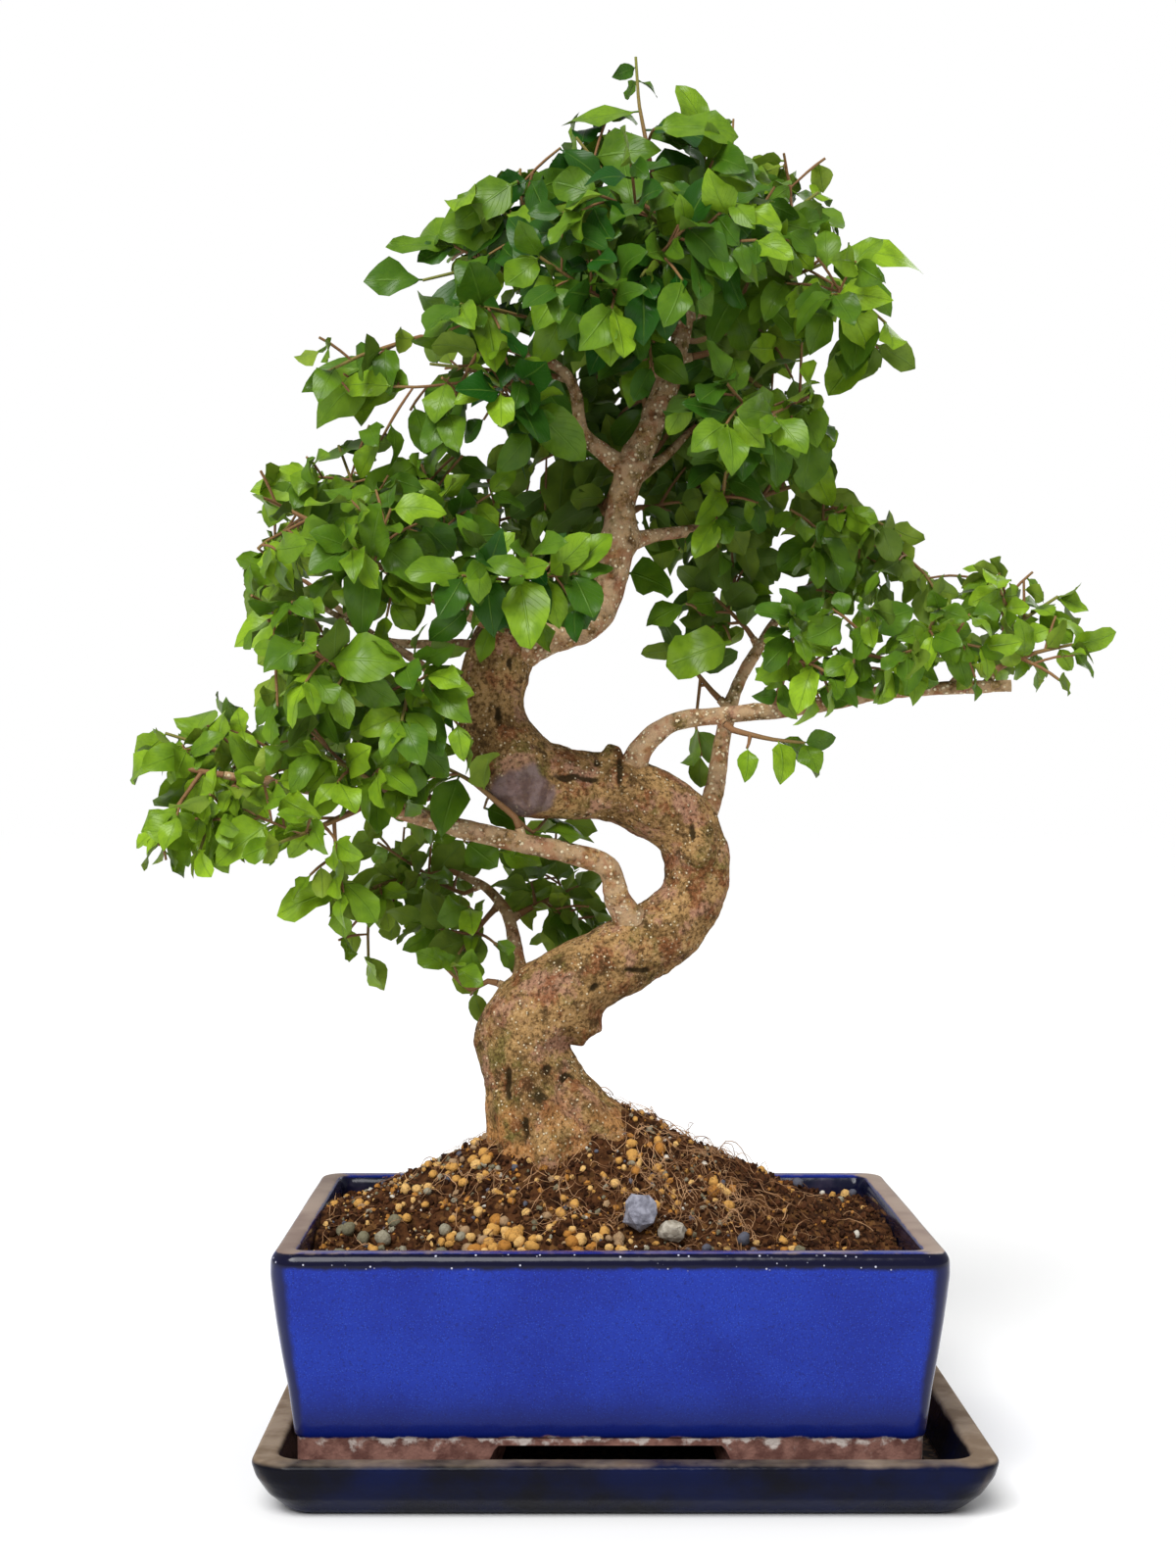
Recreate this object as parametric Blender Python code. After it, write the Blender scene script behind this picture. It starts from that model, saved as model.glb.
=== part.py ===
"""Chinese privet bonsai in a blue glazed pot that stands on its drip tray, at real size.

Metres. The origin is the point of the tray's flat underside that lies below the pot's centre. X runs
right along the pot's long side, Y runs away from the viewer and Z runs up. The tree's frame (root
flare, trunk, stump, leader and limbs) is one solid. Each leafy shoot that grows from it is a solid of
its own: three-sided twigs with their leaves drawn out of them.
"""

import math
import random

import bmesh
import bpy
import numpy as np
from mathutils import Vector
from mathutils.bvhtree import BVHTree

# Clearances
SEAT_GAP = 0.0003       # between a piece and what carries it
WALL_GAP = 0.0004       # between the soil and the pot's wall
HOLE_GAP = 0.0007       # round the root flare in its hole
RIM_GAP = 0.0018        # at the hole's sloping upper edge
STONE_GAP = 0.0003      # under a stone at the point where it rests
LEAF_GUARD = 0.0007     # how much a leaf is fattened while a free place is sought for it

# Drip tray: widest outline, then its wall as (height, inset from that outline)
TRAY_LENGTH = 0.278
TRAY_DEPTH = 0.210
TRAY_CORNER = 0.016
TRAY_SHIFT = 0.0055     # the pot doesn't stand in the middle of it
TRAY_FLOOR = 0.007
TRAY_OUTSIDE = [(0.0, 0.0150), (0.002, 0.0118), (0.008, 0.0056), (0.015, 0.0014), (0.020, 0.0),
                (0.022, 0.0014)]
TRAY_INSIDE = [(0.022, 0.0092), (0.0195, 0.0105), (TRAY_FLOOR, 0.0150)]

# Pot, in the same way; its feet stand on the tray's floor
POT_LENGTH = 0.254
POT_DEPTH = 0.188
POT_CORNER = 0.010
POT_FOOT = TRAY_FLOOR + SEAT_GAP
POT_RIM = 0.097
POT_FLOOR = 0.032
POT_UNDERSIDE = 0.0235
POT_OUTSIDE = [(POT_FOOT, 0.0098), (0.027, 0.0088), (0.045, 0.0062), (0.070, 0.0022), (0.086, 0.0004),
               (0.093, 0.0), (POT_RIM, 0.0020)]
POT_INSIDE = [(POT_RIM, 0.0090), (0.093, 0.0108), (0.060, 0.0130), (POT_FLOOR, 0.0165)]
FOOT_WALL = 0.015       # thickness of the L-shaped feet
LONG_ARCH = (0.101, 0.083)      # width of the gap between two feet at its foot and at its top
SHORT_ARCH = (0.066, 0.050)
DRAIN_RADIUS = 0.009
DRAIN_OFFSET = 0.052

# Soil: a blunt cone whose tip is inside the trunk, its height above the edge and how far it spreads
SOIL_EDGE = 0.0885
MOUND_RISE = 0.060
MOUND_SPREAD = (0.135, 0.083)
MOUND_CENTRE = (-0.008, 0.0)
MOUND_POWER = 1.3
GRIT = 0.0016           # height of the lumps
LUMP_WAVES = (310, 270, 520, -410)      # radians per metre along X and Y, straight and then slanted
SOIL_ROUND = 36
SOIL_RINGS = 7
RIM_STEPS = 4           # rounds of fitting the hole's upper edge to the mound
SOIL_START = 0.075      # turns the outline's first point to the middle of the right-hand side
# Stones on the soil: centre, half sizes, seed of the shape, colour
STONES = {
    "stone_grey": ((0.0118, -0.063, 0.110), (0.0066, 0.0050, 0.0076), 5, (0.150, 0.165, 0.195)),
    "stone_pale": ((0.0240, -0.0655, 0.110), (0.0056, 0.0048, 0.0044), 8, (0.420, 0.400, 0.360)),
}
STONE_ROUGH = (0.82, 1.12)      # how far a stone's points are moved in and out, as shares

# Root flare: (height, centre X, radius); it stands in a plain hole in the soil
FLARE = [(0.100, -0.0175, 0.0270), (0.116, -0.0175, 0.0305), (0.127, -0.0180, 0.0300),
         (0.138, -0.0218, 0.0272), (0.151, -0.0292, 0.0198)]
FLARE_LOBES = ((3, 0.085, 0.6), (5, 0.065, 2.1), (8, 0.02, 0.4))    # number round it, share of radius, turn
FLARE_SIDES = 20

# Trunk and limbs: centre line with the radius at each point, as (X, Y, Z, radius)
TRUNK = [
    (-0.020, 0.0, 0.128, 0.0262), (-0.0262, 0.0, 0.143, 0.0214), (-0.0316, 0.0, 0.155, 0.0187),
    (-0.034, 0.0, 0.166, 0.0188), (-0.029, -0.002, 0.177, 0.0182), (-0.014, -0.002, 0.189, 0.0166),
    (0.008, 0.002, 0.202, 0.0151), (0.026, 0.004, 0.213, 0.0143), (0.036, 0.005, 0.226, 0.0135),
    (0.038, 0.004, 0.241, 0.0135), (0.033, 0.002, 0.254, 0.0140), (0.020, 0.0, 0.264, 0.0146),
    (0.002, -0.002, 0.270, 0.0142), (-0.018, -0.005, 0.272, 0.0144), (-0.034, -0.008, 0.277, 0.0162),
    (-0.043, -0.008, 0.288, 0.0154), (-0.047, -0.007, 0.301, 0.0134), (-0.046, -0.004, 0.315, 0.0135),
    (-0.041, -0.001, 0.329, 0.0145), (-0.035, 0.001, 0.338, 0.0132), (-0.031, 0.002, 0.346, 0.0110),
]
LIMBS = {
    "leader": [
        (-0.040, -0.002, 0.327, 0.0100), (-0.024, -0.005, 0.333, 0.0078), (-0.008, -0.004, 0.338, 0.0072),
        (0.0, -0.002, 0.349, 0.0070), (0.004, -0.001, 0.366, 0.0069), (0.0055, 0.0, 0.373, 0.0077),
        (0.006, 0.0, 0.384, 0.0064), (0.008, 0.0, 0.394, 0.0060), (0.011, -0.001, 0.403, 0.0070),
        (0.016, -0.002, 0.413, 0.0058), (0.023, -0.004, 0.430, 0.0051), (0.028, -0.004, 0.445, 0.0045),
        (0.032, -0.006, 0.460, 0.0035), (0.035, -0.007, 0.476, 0.0026), (0.030, -0.009, 0.497, 0.0018),
        (0.021, -0.010, 0.515, 0.0012),
    ],
    "left_low": [
        (0.014, 0.0, 0.211, 0.0058), (0.005, -0.007, 0.224, 0.0050), (0.0, -0.012, 0.238, 0.0046),
        (-0.016, -0.016, 0.244, 0.0043), (-0.039, -0.020, 0.249, 0.0039), (-0.070, -0.026, 0.257, 0.0036),
        (-0.104, -0.033, 0.267, 0.0029), (-0.128, -0.037, 0.271, 0.0021), (-0.151, -0.040, 0.275, 0.0015),
    ],
    "left_back": [
        (-0.033, 0.006, 0.185, 0.0038), (-0.037, 0.018, 0.200, 0.0030), (-0.041, 0.032, 0.216, 0.0026),
        (-0.050, 0.043, 0.227, 0.0020), (-0.062, 0.050, 0.233, 0.0015),
    ],
    "right_low": [
        (0.009, -0.002, 0.273, 0.0056), (0.015, -0.007, 0.287, 0.0043), (0.028, -0.009, 0.297, 0.0038),
        (0.050, -0.011, 0.300, 0.0034), (0.082, -0.015, 0.303, 0.0032), (0.108, -0.018, 0.308, 0.0029),
        (0.132, -0.021, 0.310, 0.0026), (0.162, -0.024, 0.311, 0.0026),
    ],
    "right_back": [
        (0.038, 0.008, 0.250, 0.0052), (0.046, 0.019, 0.270, 0.0040), (0.050, 0.028, 0.292, 0.0035),
        (0.057, 0.038, 0.314, 0.0029), (0.068, 0.048, 0.333, 0.0023), (0.079, 0.058, 0.349, 0.0017),
    ],
    "right_mid": [
        (0.006, 0.002, 0.371, 0.0036), (0.022, 0.006, 0.375, 0.0027), (0.045, 0.013, 0.379, 0.0027),
        (0.062, 0.018, 0.383, 0.0025),
    ],
    "right_stub": [
        (0.013, 0.001, 0.399, 0.0030), (0.024, 0.007, 0.407, 0.0022), (0.035, 0.014, 0.419, 0.0016),
    ],
    "left_mid_low": [
        (-0.049, -0.008, 0.308, 0.0034), (-0.066, -0.020, 0.314, 0.0020), (-0.083, -0.034, 0.325, 0.0016),
        (-0.111, -0.048, 0.340, 0.0011),
    ],
    "left_mid": [
        (-0.047, 0.002, 0.327, 0.0034), (-0.062, 0.010, 0.330, 0.0023), (-0.090, 0.022, 0.332, 0.0017),
        (-0.107, 0.028, 0.342, 0.0014), (-0.124, 0.032, 0.356, 0.0011),
    ],
    "left_mid_high": [
        (-0.037, -0.003, 0.335, 0.0034), (-0.056, -0.015, 0.340, 0.0023), (-0.082, -0.030, 0.353, 0.0016),
        (-0.112, -0.040, 0.372, 0.0011),
    ],
    "stump_back": [
        (-0.033, 0.008, 0.340, 0.0038), (-0.040, 0.028, 0.363, 0.0024), (-0.058, 0.044, 0.384, 0.0017),
        (-0.071, 0.050, 0.396, 0.0013),
    ],
    "crown_left": [
        (0.010, -0.001, 0.400, 0.0040), (-0.001, -0.003, 0.408, 0.0035), (-0.010, -0.006, 0.416, 0.0030),
        (-0.0125, -0.009, 0.431, 0.0026), (-0.020, -0.013, 0.441, 0.0022), (-0.043, -0.022, 0.448, 0.0016),
        (-0.070, -0.032, 0.449, 0.0011),
    ],
}
# Pruned stubs, healed scars and burls on the trunk: centre, direction it faces, radius, rise
KNOTS = [
    ((-0.034, -0.0145, 0.269), (-0.45, -0.80, -0.35), 0.0105, 0.0062),
    ((0.005, -0.010, 0.272), (0.1, -0.9, 0.3), 0.0048, 0.0072),
    ((0.003, -0.006, 0.281), (0.0, -0.4, 0.9), 0.0035, 0.0062),
    ((-0.0155, -0.003, 0.180), (0.62, -0.15, -0.77), 0.0065, 0.0085),
    ((0.036, -0.005, 0.244), (0.2, -0.95, 0.1), 0.0052, 0.0066),
    ((-0.026, -0.014, 0.148), (-0.1, -0.95, 0.1), 0.0085, 0.0075),
    ((0.010, 0.006, 0.263), (0.2, 0.8, 0.4), 0.0060, 0.0110),
]
KNOT_FOOT, KNOT_END = 1.10, 0.72        # radius at a knot's foot and flat end, as shares
# Surface roots that leave the flare and dive into the hole with it
SURFACE_ROOTS = [
    [(-0.020, -0.012, 0.146, 0.0090), (-0.004, -0.015, 0.134, 0.0075), (0.004, -0.013, 0.118, 0.0060)],
    [(-0.030, -0.010, 0.146, 0.0085), (-0.036, -0.014, 0.130, 0.0070), (-0.034, -0.012, 0.116, 0.0060)],
    [(-0.016, 0.008, 0.146, 0.0090), (-0.005, 0.013, 0.132, 0.0065), (0.0, 0.012, 0.116, 0.0060)],
]

# Leafy shoots, by the limb that they grow from: (share of the limb's length, stem points, twig tips)
SHOOTS = {
    "left_low": [
        (1.00, [], [(-0.189, -0.042, 0.281), (-0.179, -0.052, 0.240), (-0.165, -0.048, 0.254)]),
        (0.90, [], [(-0.177, -0.024, 0.292), (-0.157, -0.062, 0.246)]),
        (0.80, [], [(-0.153, 0.002, 0.297), (-0.162, -0.005, 0.282)]),
        (0.70, [], [(-0.125, -0.072, 0.249), (-0.141, -0.058, 0.262), (-0.103, -0.052, 0.229)]),
        (0.60, [], [(-0.111, -0.062, 0.283), (-0.124, -0.040, 0.300)]),
        (0.50, [], [(-0.095, 0.010, 0.286), (-0.111, 0.025, 0.295)]),
        (0.36, [], [(-0.070, -0.030, 0.281), (-0.082, -0.050, 0.271), (-0.024, -0.002, 0.258)]),
    ],
    "left_back": [
        (1.00, [], [(-0.109, 0.030, 0.224), (-0.099, 0.015, 0.200)]),
        (0.85, [], [(-0.084, 0.062, 0.238), (-0.098, 0.050, 0.247)]),
        (0.66, [], [(-0.062, 0.010, 0.200), (-0.077, 0.020, 0.214)]),
        (0.52, [], [(-0.011, 0.050, 0.228), (-0.024, 0.060, 0.238), (-0.011, 0.040, 0.209)]),
    ],
    "trunk": [
        (0.19, [(-0.056, 0.004, 0.186)], [(-0.066, 0.002, 0.196)]),
        (0.96, [(-0.036, -0.030, 0.345), (-0.040, -0.050, 0.350)],
         [(-0.034, -0.070, 0.351), (-0.056, -0.074, 0.350), (-0.012, -0.062, 0.352)]),
    ],
    "left_mid_low": [
        (1.00, [], [(-0.135, -0.060, 0.332), (-0.128, -0.050, 0.310)]),
        (0.70, [], [(-0.103, -0.075, 0.308), (-0.115, -0.080, 0.325)]),
        (0.42, [], [(-0.079, -0.070, 0.295), (-0.068, -0.060, 0.309)]),
    ],
    "left_mid": [
        (1.00, [], [(-0.151, 0.030, 0.364), (-0.141, 0.040, 0.380)]),
        (0.60, [], [(-0.111, 0.030, 0.318), (-0.131, 0.020, 0.334), (-0.083, 0.040, 0.297)]),
    ],
    "left_mid_high": [
        (1.00, [], [(-0.139, -0.035, 0.386), (-0.139, -0.065, 0.357)]),
        (0.75, [], [(-0.108, -0.020, 0.408), (-0.125, -0.030, 0.393)]),
        (0.55, [], [(-0.097, -0.080, 0.360), (-0.083, -0.070, 0.376)]),
        (0.35, [], [(-0.066, -0.030, 0.385), (-0.075, -0.015, 0.401)]),
    ],
    "stump_back": [
        (1.00, [], [(-0.093, 0.060, 0.412), (-0.106, 0.070, 0.394)]),
        (0.60, [], [(-0.045, 0.060, 0.406), (-0.024, 0.050, 0.391)]),
    ],
    "crown_left": [
        (1.00, [], [(-0.114, -0.040, 0.432), (-0.107, -0.030, 0.424)]),
        (0.80, [], [(-0.063, -0.050, 0.416), (-0.085, -0.040, 0.428)]),
        (0.55, [], [(-0.031, -0.040, 0.410), (-0.042, -0.055, 0.423)]),
        (0.44, [], [(-0.077, 0.020, 0.449), (-0.057, 0.040, 0.449)]),
    ],
    "leader": [
        (0.625, [(-0.003, -0.010, 0.447), (-0.023, -0.014, 0.459), (-0.045, -0.018, 0.482)],
         [(-0.074, -0.022, 0.474), (-0.062, -0.014, 0.490), (-0.057, -0.060, 0.456)]),
        (0.650, [], [(-0.008, -0.075, 0.456), (-0.027, -0.070, 0.472), (0.004, -0.070, 0.463)]),
        (0.670, [(0.046, -0.003, 0.450), (0.060, -0.006, 0.436)],
         [(0.096, -0.015, 0.413), (0.082, -0.030, 0.428), (0.053, -0.050, 0.409), (0.045, -0.060, 0.426)]),
        (0.690, [(0.038, 0.020, 0.458), (0.061, 0.048, 0.470)],
         [(0.094, 0.075, 0.491), (0.079, 0.060, 0.461)]),
        (0.710, [], [(-0.053, -0.030, 0.506), (-0.035, -0.010, 0.522)]),
        (0.730, [(0.034, 0.016, 0.468), (0.022, 0.042, 0.494)],
         [(-0.015, 0.070, 0.515), (0.002, 0.060, 0.530), (0.036, 0.055, 0.529)]),
        (0.750, [(0.048, -0.010, 0.468), (0.072, -0.014, 0.476)],
         [(0.097, -0.012, 0.487), (0.111, -0.030, 0.455), (0.087, -0.050, 0.462), (0.103, -0.020, 0.441)]),
        (0.775, [(0.030, -0.026, 0.472), (0.018, -0.050, 0.476)],
         [(0.012, -0.075, 0.463), (0.029, -0.075, 0.482), (0.044, -0.070, 0.472)]),
        (0.800, [(0.046, 0.0, 0.484), (0.062, 0.004, 0.497)],
         [(0.091, 0.0, 0.518), (0.075, 0.015, 0.531), (0.057, -0.050, 0.489)]),
        (0.845, [], [(0.011, -0.070, 0.492), (-0.004, -0.060, 0.498)]),
        (0.900, [], [(0.041, 0.0, 0.542), (0.058, 0.015, 0.530)]),
        (0.945, [], [(-0.015, -0.015, 0.537), (-0.021, 0.0, 0.527)]),
        (1.000, [], [(0.012, -0.006, 0.571)]),
    ],
    "right_low": [
        (0.94, [], [(0.188, -0.018, 0.328), (0.180, -0.030, 0.313)]),
        (0.86, [], [(0.186, 0.0, 0.349), (0.160, 0.010, 0.358)]),
        (0.73, [], [(0.129, -0.050, 0.340), (0.146, -0.045, 0.325)]),
        (0.58, [], [(0.101, -0.060, 0.339), (0.118, -0.050, 0.317)]),
        (0.42, [], [(0.072, -0.055, 0.336), (0.087, -0.055, 0.313)]),
        (0.30, [], [(0.079, -0.028, 0.288), (0.056, -0.026, 0.286)]),
    ],
    "right_back": [
        (1.00, [], [(0.114, 0.060, 0.376), (0.131, 0.050, 0.381), (0.143, 0.030, 0.351)]),
        (0.80, [], [(0.044, 0.050, 0.357), (0.063, 0.070, 0.372)]),
        (0.52, [], [(0.031, 0.040, 0.331), (0.041, 0.035, 0.314), (0.041, 0.028, 0.284)]),
    ],
    "right_mid": [
        (0.90, [], [(0.097, 0.030, 0.399), (0.117, 0.020, 0.381), (0.084, -0.010, 0.368)]),
        (0.60, [], [(0.048, -0.020, 0.398), (0.073, 0.040, 0.411)]),
    ],
    "right_stub": [(1.00, [], [(0.051, 0.030, 0.418), (0.066, 0.050, 0.400)])],
}
# Large leaves that stand out, by shoot: (stalk's root, leaf's tip, width)
LARGE_LEAVES = {
    "shoot_leader_13": [
        ((0.013, -0.007, 0.538), (0.054, -0.012, 0.538), 0.018),
        ((0.012, -0.006, 0.546), (-0.021, -0.014, 0.540), 0.015),
    ],
    "shoot_leader_7": [
        ((0.097, -0.012, 0.487), (0.134, -0.010, 0.492), 0.015),
        ((0.096, -0.012, 0.486), (0.117, -0.020, 0.459), 0.017),
    ],
    "shoot_leader_1": [
        ((-0.073, -0.022, 0.474), (-0.100, -0.026, 0.474), 0.013),
        ((-0.061, -0.014, 0.490), (-0.092, -0.018, 0.492), 0.013),
    ],
    "shoot_leader_8": [((0.010, -0.074, 0.463), (0.014, -0.086, 0.438), 0.015)],
    "shoot_left_low_4": [((-0.103, -0.052, 0.229), (-0.132, -0.055, 0.226), 0.014)],
    "shoot_trunk_2": [
        ((-0.035, -0.068, 0.351), (-0.028, -0.084, 0.320), 0.020),
        ((-0.014, -0.062, 0.352), (-0.004, -0.074, 0.334), 0.017),
        ((-0.013, -0.061, 0.352), (0.0, -0.060, 0.372), 0.015),
        ((-0.055, -0.073, 0.350), (-0.078, -0.082, 0.353), 0.015),
    ],
}

# Leaves: length, by limb, then the rule that they follow along a twig
LEAF_LENGTH = {
    "left_low": 0.0255, "left_back": 0.025, "trunk": 0.024, "left_mid_low": 0.027, "left_mid": 0.027,
    "left_mid_high": 0.028, "stump_back": 0.027, "crown_left": 0.029, "leader": 0.030, "right_low": 0.022,
    "right_back": 0.024, "right_mid": 0.026, "right_stub": 0.026,
}
TOP_SHOOT = "shoot_leader_13"
TOP_LEAF_LENGTH = 0.012
LEAF_GROWTH = (0.85, 1.18)      # a leaf's length as a share of its place's
LEAF_SLENDER = (0.50, 0.62)     # width as a share of length
LEAF_FOLD = (0.15, 0.50)        # rise of the rim over the midrib, as a share of half the width
LEAF_DROOP = (0.02, 0.22)       # sag of the tip, as a share of length
LEAF_HANG = (0.35, 0.95)        # how much a leaf grows downwards
LEAF_THICK = 0.0010             # at the midrib
# A leaf's spread from its twig in degrees, in the end pair and in the others
END_SPREAD = (22, 45)
SIDE_SPREAD = (42, 75)
# Where faces look: up, out of the tree and to the nearer long side, and how loosely, more at each try
LOOK_UP, LOOK_OUT, LOOK_SIDE = 0.55, 0.45, 0.75
LOOSE, LOOSER = 0.42, 0.10
LARGE_LOOK = (0.0, -0.85, 0.55)
LARGE_FOLD, LARGE_DROOP = 0.25, 0.08
# The blade's rim, as shares of its length and half width, and the corners of its three-sided foot
RIM = ((0.38, 0.88), (0.70, 0.78), (1.0, 0.0), (0.70, -0.78), (0.38, -0.88))
LEAF_FOOT = ((0.87, 0.5), (-0.87, 0.5), (0.0, -1.0))
LEAF_FOOT_RADIUS = 0.00058
KEEL = 0.45             # place of the thickest point between foot and tip
# Pair counted from the twig's end, then the side
LEAF_PLACES = ((0, -1), (0, 1), (1, -1), (1, 1), (2, -1), (2, 1))
STALK_SHARE = 0.15      # the part of a leaf that may lie close to its own twig
PAIR_SPACING = 0.47     # of a leaf's length
PAIR_LENGTHS = (0.74, 1.0, 0.95)    # length of each pair, as a share of full length
TRUNK_SIDES, LIMB_SIDES, ROOT_SIDES, SPUR_SIDES = 12, 6, 5, 3
TRUNK_STEP = 0.012      # spacing of the rings along each kind of wood
LIMB_STEP = 0.022
TWIG_STEP = 0.030
BAND = 0.0014           # length of twig that a pair of leaves grows from
SAME_BAND = 0.0022      # leaves nearer to each other than this share a band
MATE_TURN = 0.3         # greatest cosine between two leaves of a band, seen along the twig
LEAF_TRIES = 12
TWIG_TRIES = 14
TWIG_END = 0.00062      # radius of a twig at its tip
TWIG_TAPER = 0.7        # power of the twig's length that its radius falls with
TWIG_BOW = 0.12         # how far a twig bows out, as a share of its length
TWIG_SWERVE = 0.0028    # how much further each try bends a twig
STEM_SHARE = 0.6        # a stem's radius as a share of its limb's
STEM_MOST = 0.0016      # greatest radius of a shoot's stem
STEM_LEAD = 0.004       # how far a stem runs straight out of its seat
SPUR_LEAN = 0.55        # how much a side shoot leans along its limb
SPUR_SPREAD = 1.25      # a spur's radius at its foot, as a share of the stem's
FORK_RANGE = (0.22, 0.74)       # stretch of a twig that others may leave it from
FORK_TURN = 0.5         # how much a turn counts against a fork
FORK_SHARE = 0.8        # radius of a forked twig as a share of the twig that it leaves
FORK_LEAN = 0.6         # how much it leans along that twig
FORK_APART = 0.0035     # least distance between two forks of a shoot
BARE_START = (0.0035, 0.0035, 0.014)    # bare length at a twig's start that each pair of leaves needs
SPUR_CLEAR = 0.0012     # how far a spur stands out of the limb's bark
# A leaf's points: three at its foot, five round the rim, then one under the midrib
TOP_FACES = [(1, 0, 5), (0, 3, 5), (3, 4, 5), (1, 5, 7), (5, 6, 7)]
UNDER_FACES = [(0, 3, 8), (3, 4, 8), (4, 5, 8), (5, 6, 8), (6, 7, 8), (7, 1, 8), (1, 2, 8), (2, 0, 8)]
# The fatter shape that a leaf is tested with has a point over the midrib as well
GUARD_FACES = UNDER_FACES + [(1, 0, 9), (0, 3, 9), (3, 4, 9), (4, 5, 9), (5, 6, 9), (6, 7, 9), (7, 1, 9)]

UP = np.array([0.0, 0.0, 1.0])
LEAST_BEND = 0.004      # smallest corner radius of the pot and the tray
# Colours
TRAY_GLAZE = (0.018, 0.022, 0.040)
POT_GLAZE = (0.012, 0.050, 0.330)
SOIL_BROWN = (0.075, 0.040, 0.022)
BARK = (0.190, 0.130, 0.070)
GREENS = ((0.060, 0.170, 0.018), (0.095, 0.215, 0.022), (0.045, 0.130, 0.020))


def clear_scene():
    for old in list(bpy.data.objects):
        bpy.data.objects.remove(old, do_unlink=True)


def material(name, colour, roughness, metallic=0.0):
    made = bpy.data.materials.new(name)
    made.use_nodes = True
    shader = made.node_tree.nodes["Principled BSDF"]
    shader.inputs["Base Color"].default_value = (*colour, 1.0)
    shader.inputs["Roughness"].default_value = roughness
    shader.inputs["Metallic"].default_value = metallic
    return made


def mesh_object(name, points, faces, finish=None, home=None):
    """An object from points and faces, with its faces turned outwards."""
    mesh = bpy.data.meshes.new(name)
    mesh.from_pydata([tuple(map(float, p)) for p in points], [], [tuple(map(int, f)) for f in faces])
    work = bmesh.new()
    work.from_mesh(mesh)
    bmesh.ops.recalc_face_normals(work, faces=work.faces)
    work.to_mesh(mesh)
    work.free()
    if finish is not None:
        mesh.materials.append(finish)
    made = bpy.data.objects.new(name, mesh)
    (home or bpy.context.scene.collection).objects.link(made)
    return made


def unit(vector):
    vector = np.asarray(vector, float)
    return vector / max(np.linalg.norm(vector), 1e-12)


def loft(rings):
    """Faces that join rings of equal length, with the first and last ring closed."""
    count = len(rings[0])
    faces = [tuple(range(count))]
    for level in range(len(rings) - 1):
        low, high = level * count, (level + 1) * count
        for k in range(count):
            following = (k + 1) % count
            faces.append((low + k, low + following, high + following, high + k))
    last = (len(rings) - 1) * count
    faces.append(tuple(range(last + count - 1, last - 1, -1)))
    return np.vstack(rings), faces


def rounded_rectangle(length, depth, corner, inset, z, steps=4):
    """Points anticlockwise round a rectangle with round corners, all of it moved in by inset."""
    half_x, half_y, bend = length / 2 - inset, depth / 2 - inset, max(corner - inset / 2, LEAST_BEND)
    angles = np.radians(np.arange(0, 91, 90 / steps))
    points = []
    for turn, (side_x, side_y) in enumerate(((1, 1), (-1, 1), (-1, -1), (1, -1))):
        around = angles + turn * math.pi / 2
        points.append(np.stack([
            side_x * (half_x - bend) + bend * np.cos(around),
            side_y * (half_y - bend) + bend * np.sin(around),
            np.full(len(around), z)], axis=1))
    return np.vstack(points)


def vessel(name, length, depth, corner, outside, inside, finish, shift=0.0):
    """An open dish: up its outside wall, over the rim and down its inside wall to the floor."""
    rings = [rounded_rectangle(length, depth, corner, inset, z) for z, inset in outside + inside]
    points, faces = loft(rings)
    return mesh_object(name, points + [shift, 0.0, 0.0], faces, finish)


def cut(target, cutters):
    """Takes the cutters out of the target and removes them."""
    for cutter in cutters:
        step = target.modifiers.new("cut", "BOOLEAN")
        step.operation = "DIFFERENCE"
        step.object = cutter
        apply_modifiers(target)
        bpy.data.objects.remove(cutter, do_unlink=True)


def apply_modifiers(target):
    graph = bpy.context.evaluated_depsgraph_get()
    graph.update()
    mesh = bpy.data.meshes.new_from_object(target.evaluated_get(graph), depsgraph=graph)
    target.modifiers.clear()
    target.data = mesh


def box_cutter(name, low, high):
    corners = [(x, y, z) for x in (low[0], high[0]) for y in (low[1], high[1]) for z in (low[2], high[2])]
    faces = [(0, 1, 3, 2), (4, 6, 7, 5), (0, 4, 5, 1), (2, 3, 7, 6), (0, 2, 6, 4), (1, 5, 7, 3)]
    return mesh_object(name, corners, faces)


def arch_cutter(name, widths, reach, along_y):
    """A bar with slanted sides that opens the gap between the feet on two opposite sides."""
    low, high = POT_FOOT - 0.01, POT_UNDERSIDE
    slope = (widths[0] - widths[1]) / 2 / (high - POT_FOOT)
    half_low = widths[0] / 2 + slope * (POT_FOOT - low)
    section = [(-half_low, low), (half_low, low), (widths[1] / 2, high), (-widths[1] / 2, high)]
    rings = []
    for end in (-reach, reach):
        rings.append(np.array([(across, end, z) if along_y else (end, across, z) for across, z in section]))
    return mesh_object(name, *loft(rings))


def drain_cutter(name, x):
    angles = np.linspace(0, 2 * math.pi, 16, endpoint=False)
    rings = [np.stack([x + DRAIN_RADIUS * np.cos(angles), DRAIN_RADIUS * np.sin(angles),
                       np.full(16, z)], axis=1) for z in (POT_UNDERSIDE - 0.01, POT_FLOOR + 0.01)]
    return mesh_object(name, *loft(rings))


def make_tray():
    finish = material("tray_glaze", TRAY_GLAZE, 0.22)
    walls = (TRAY_OUTSIDE, TRAY_INSIDE)
    return vessel("drip_tray", TRAY_LENGTH, TRAY_DEPTH, TRAY_CORNER, *walls, finish, TRAY_SHIFT)


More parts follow.
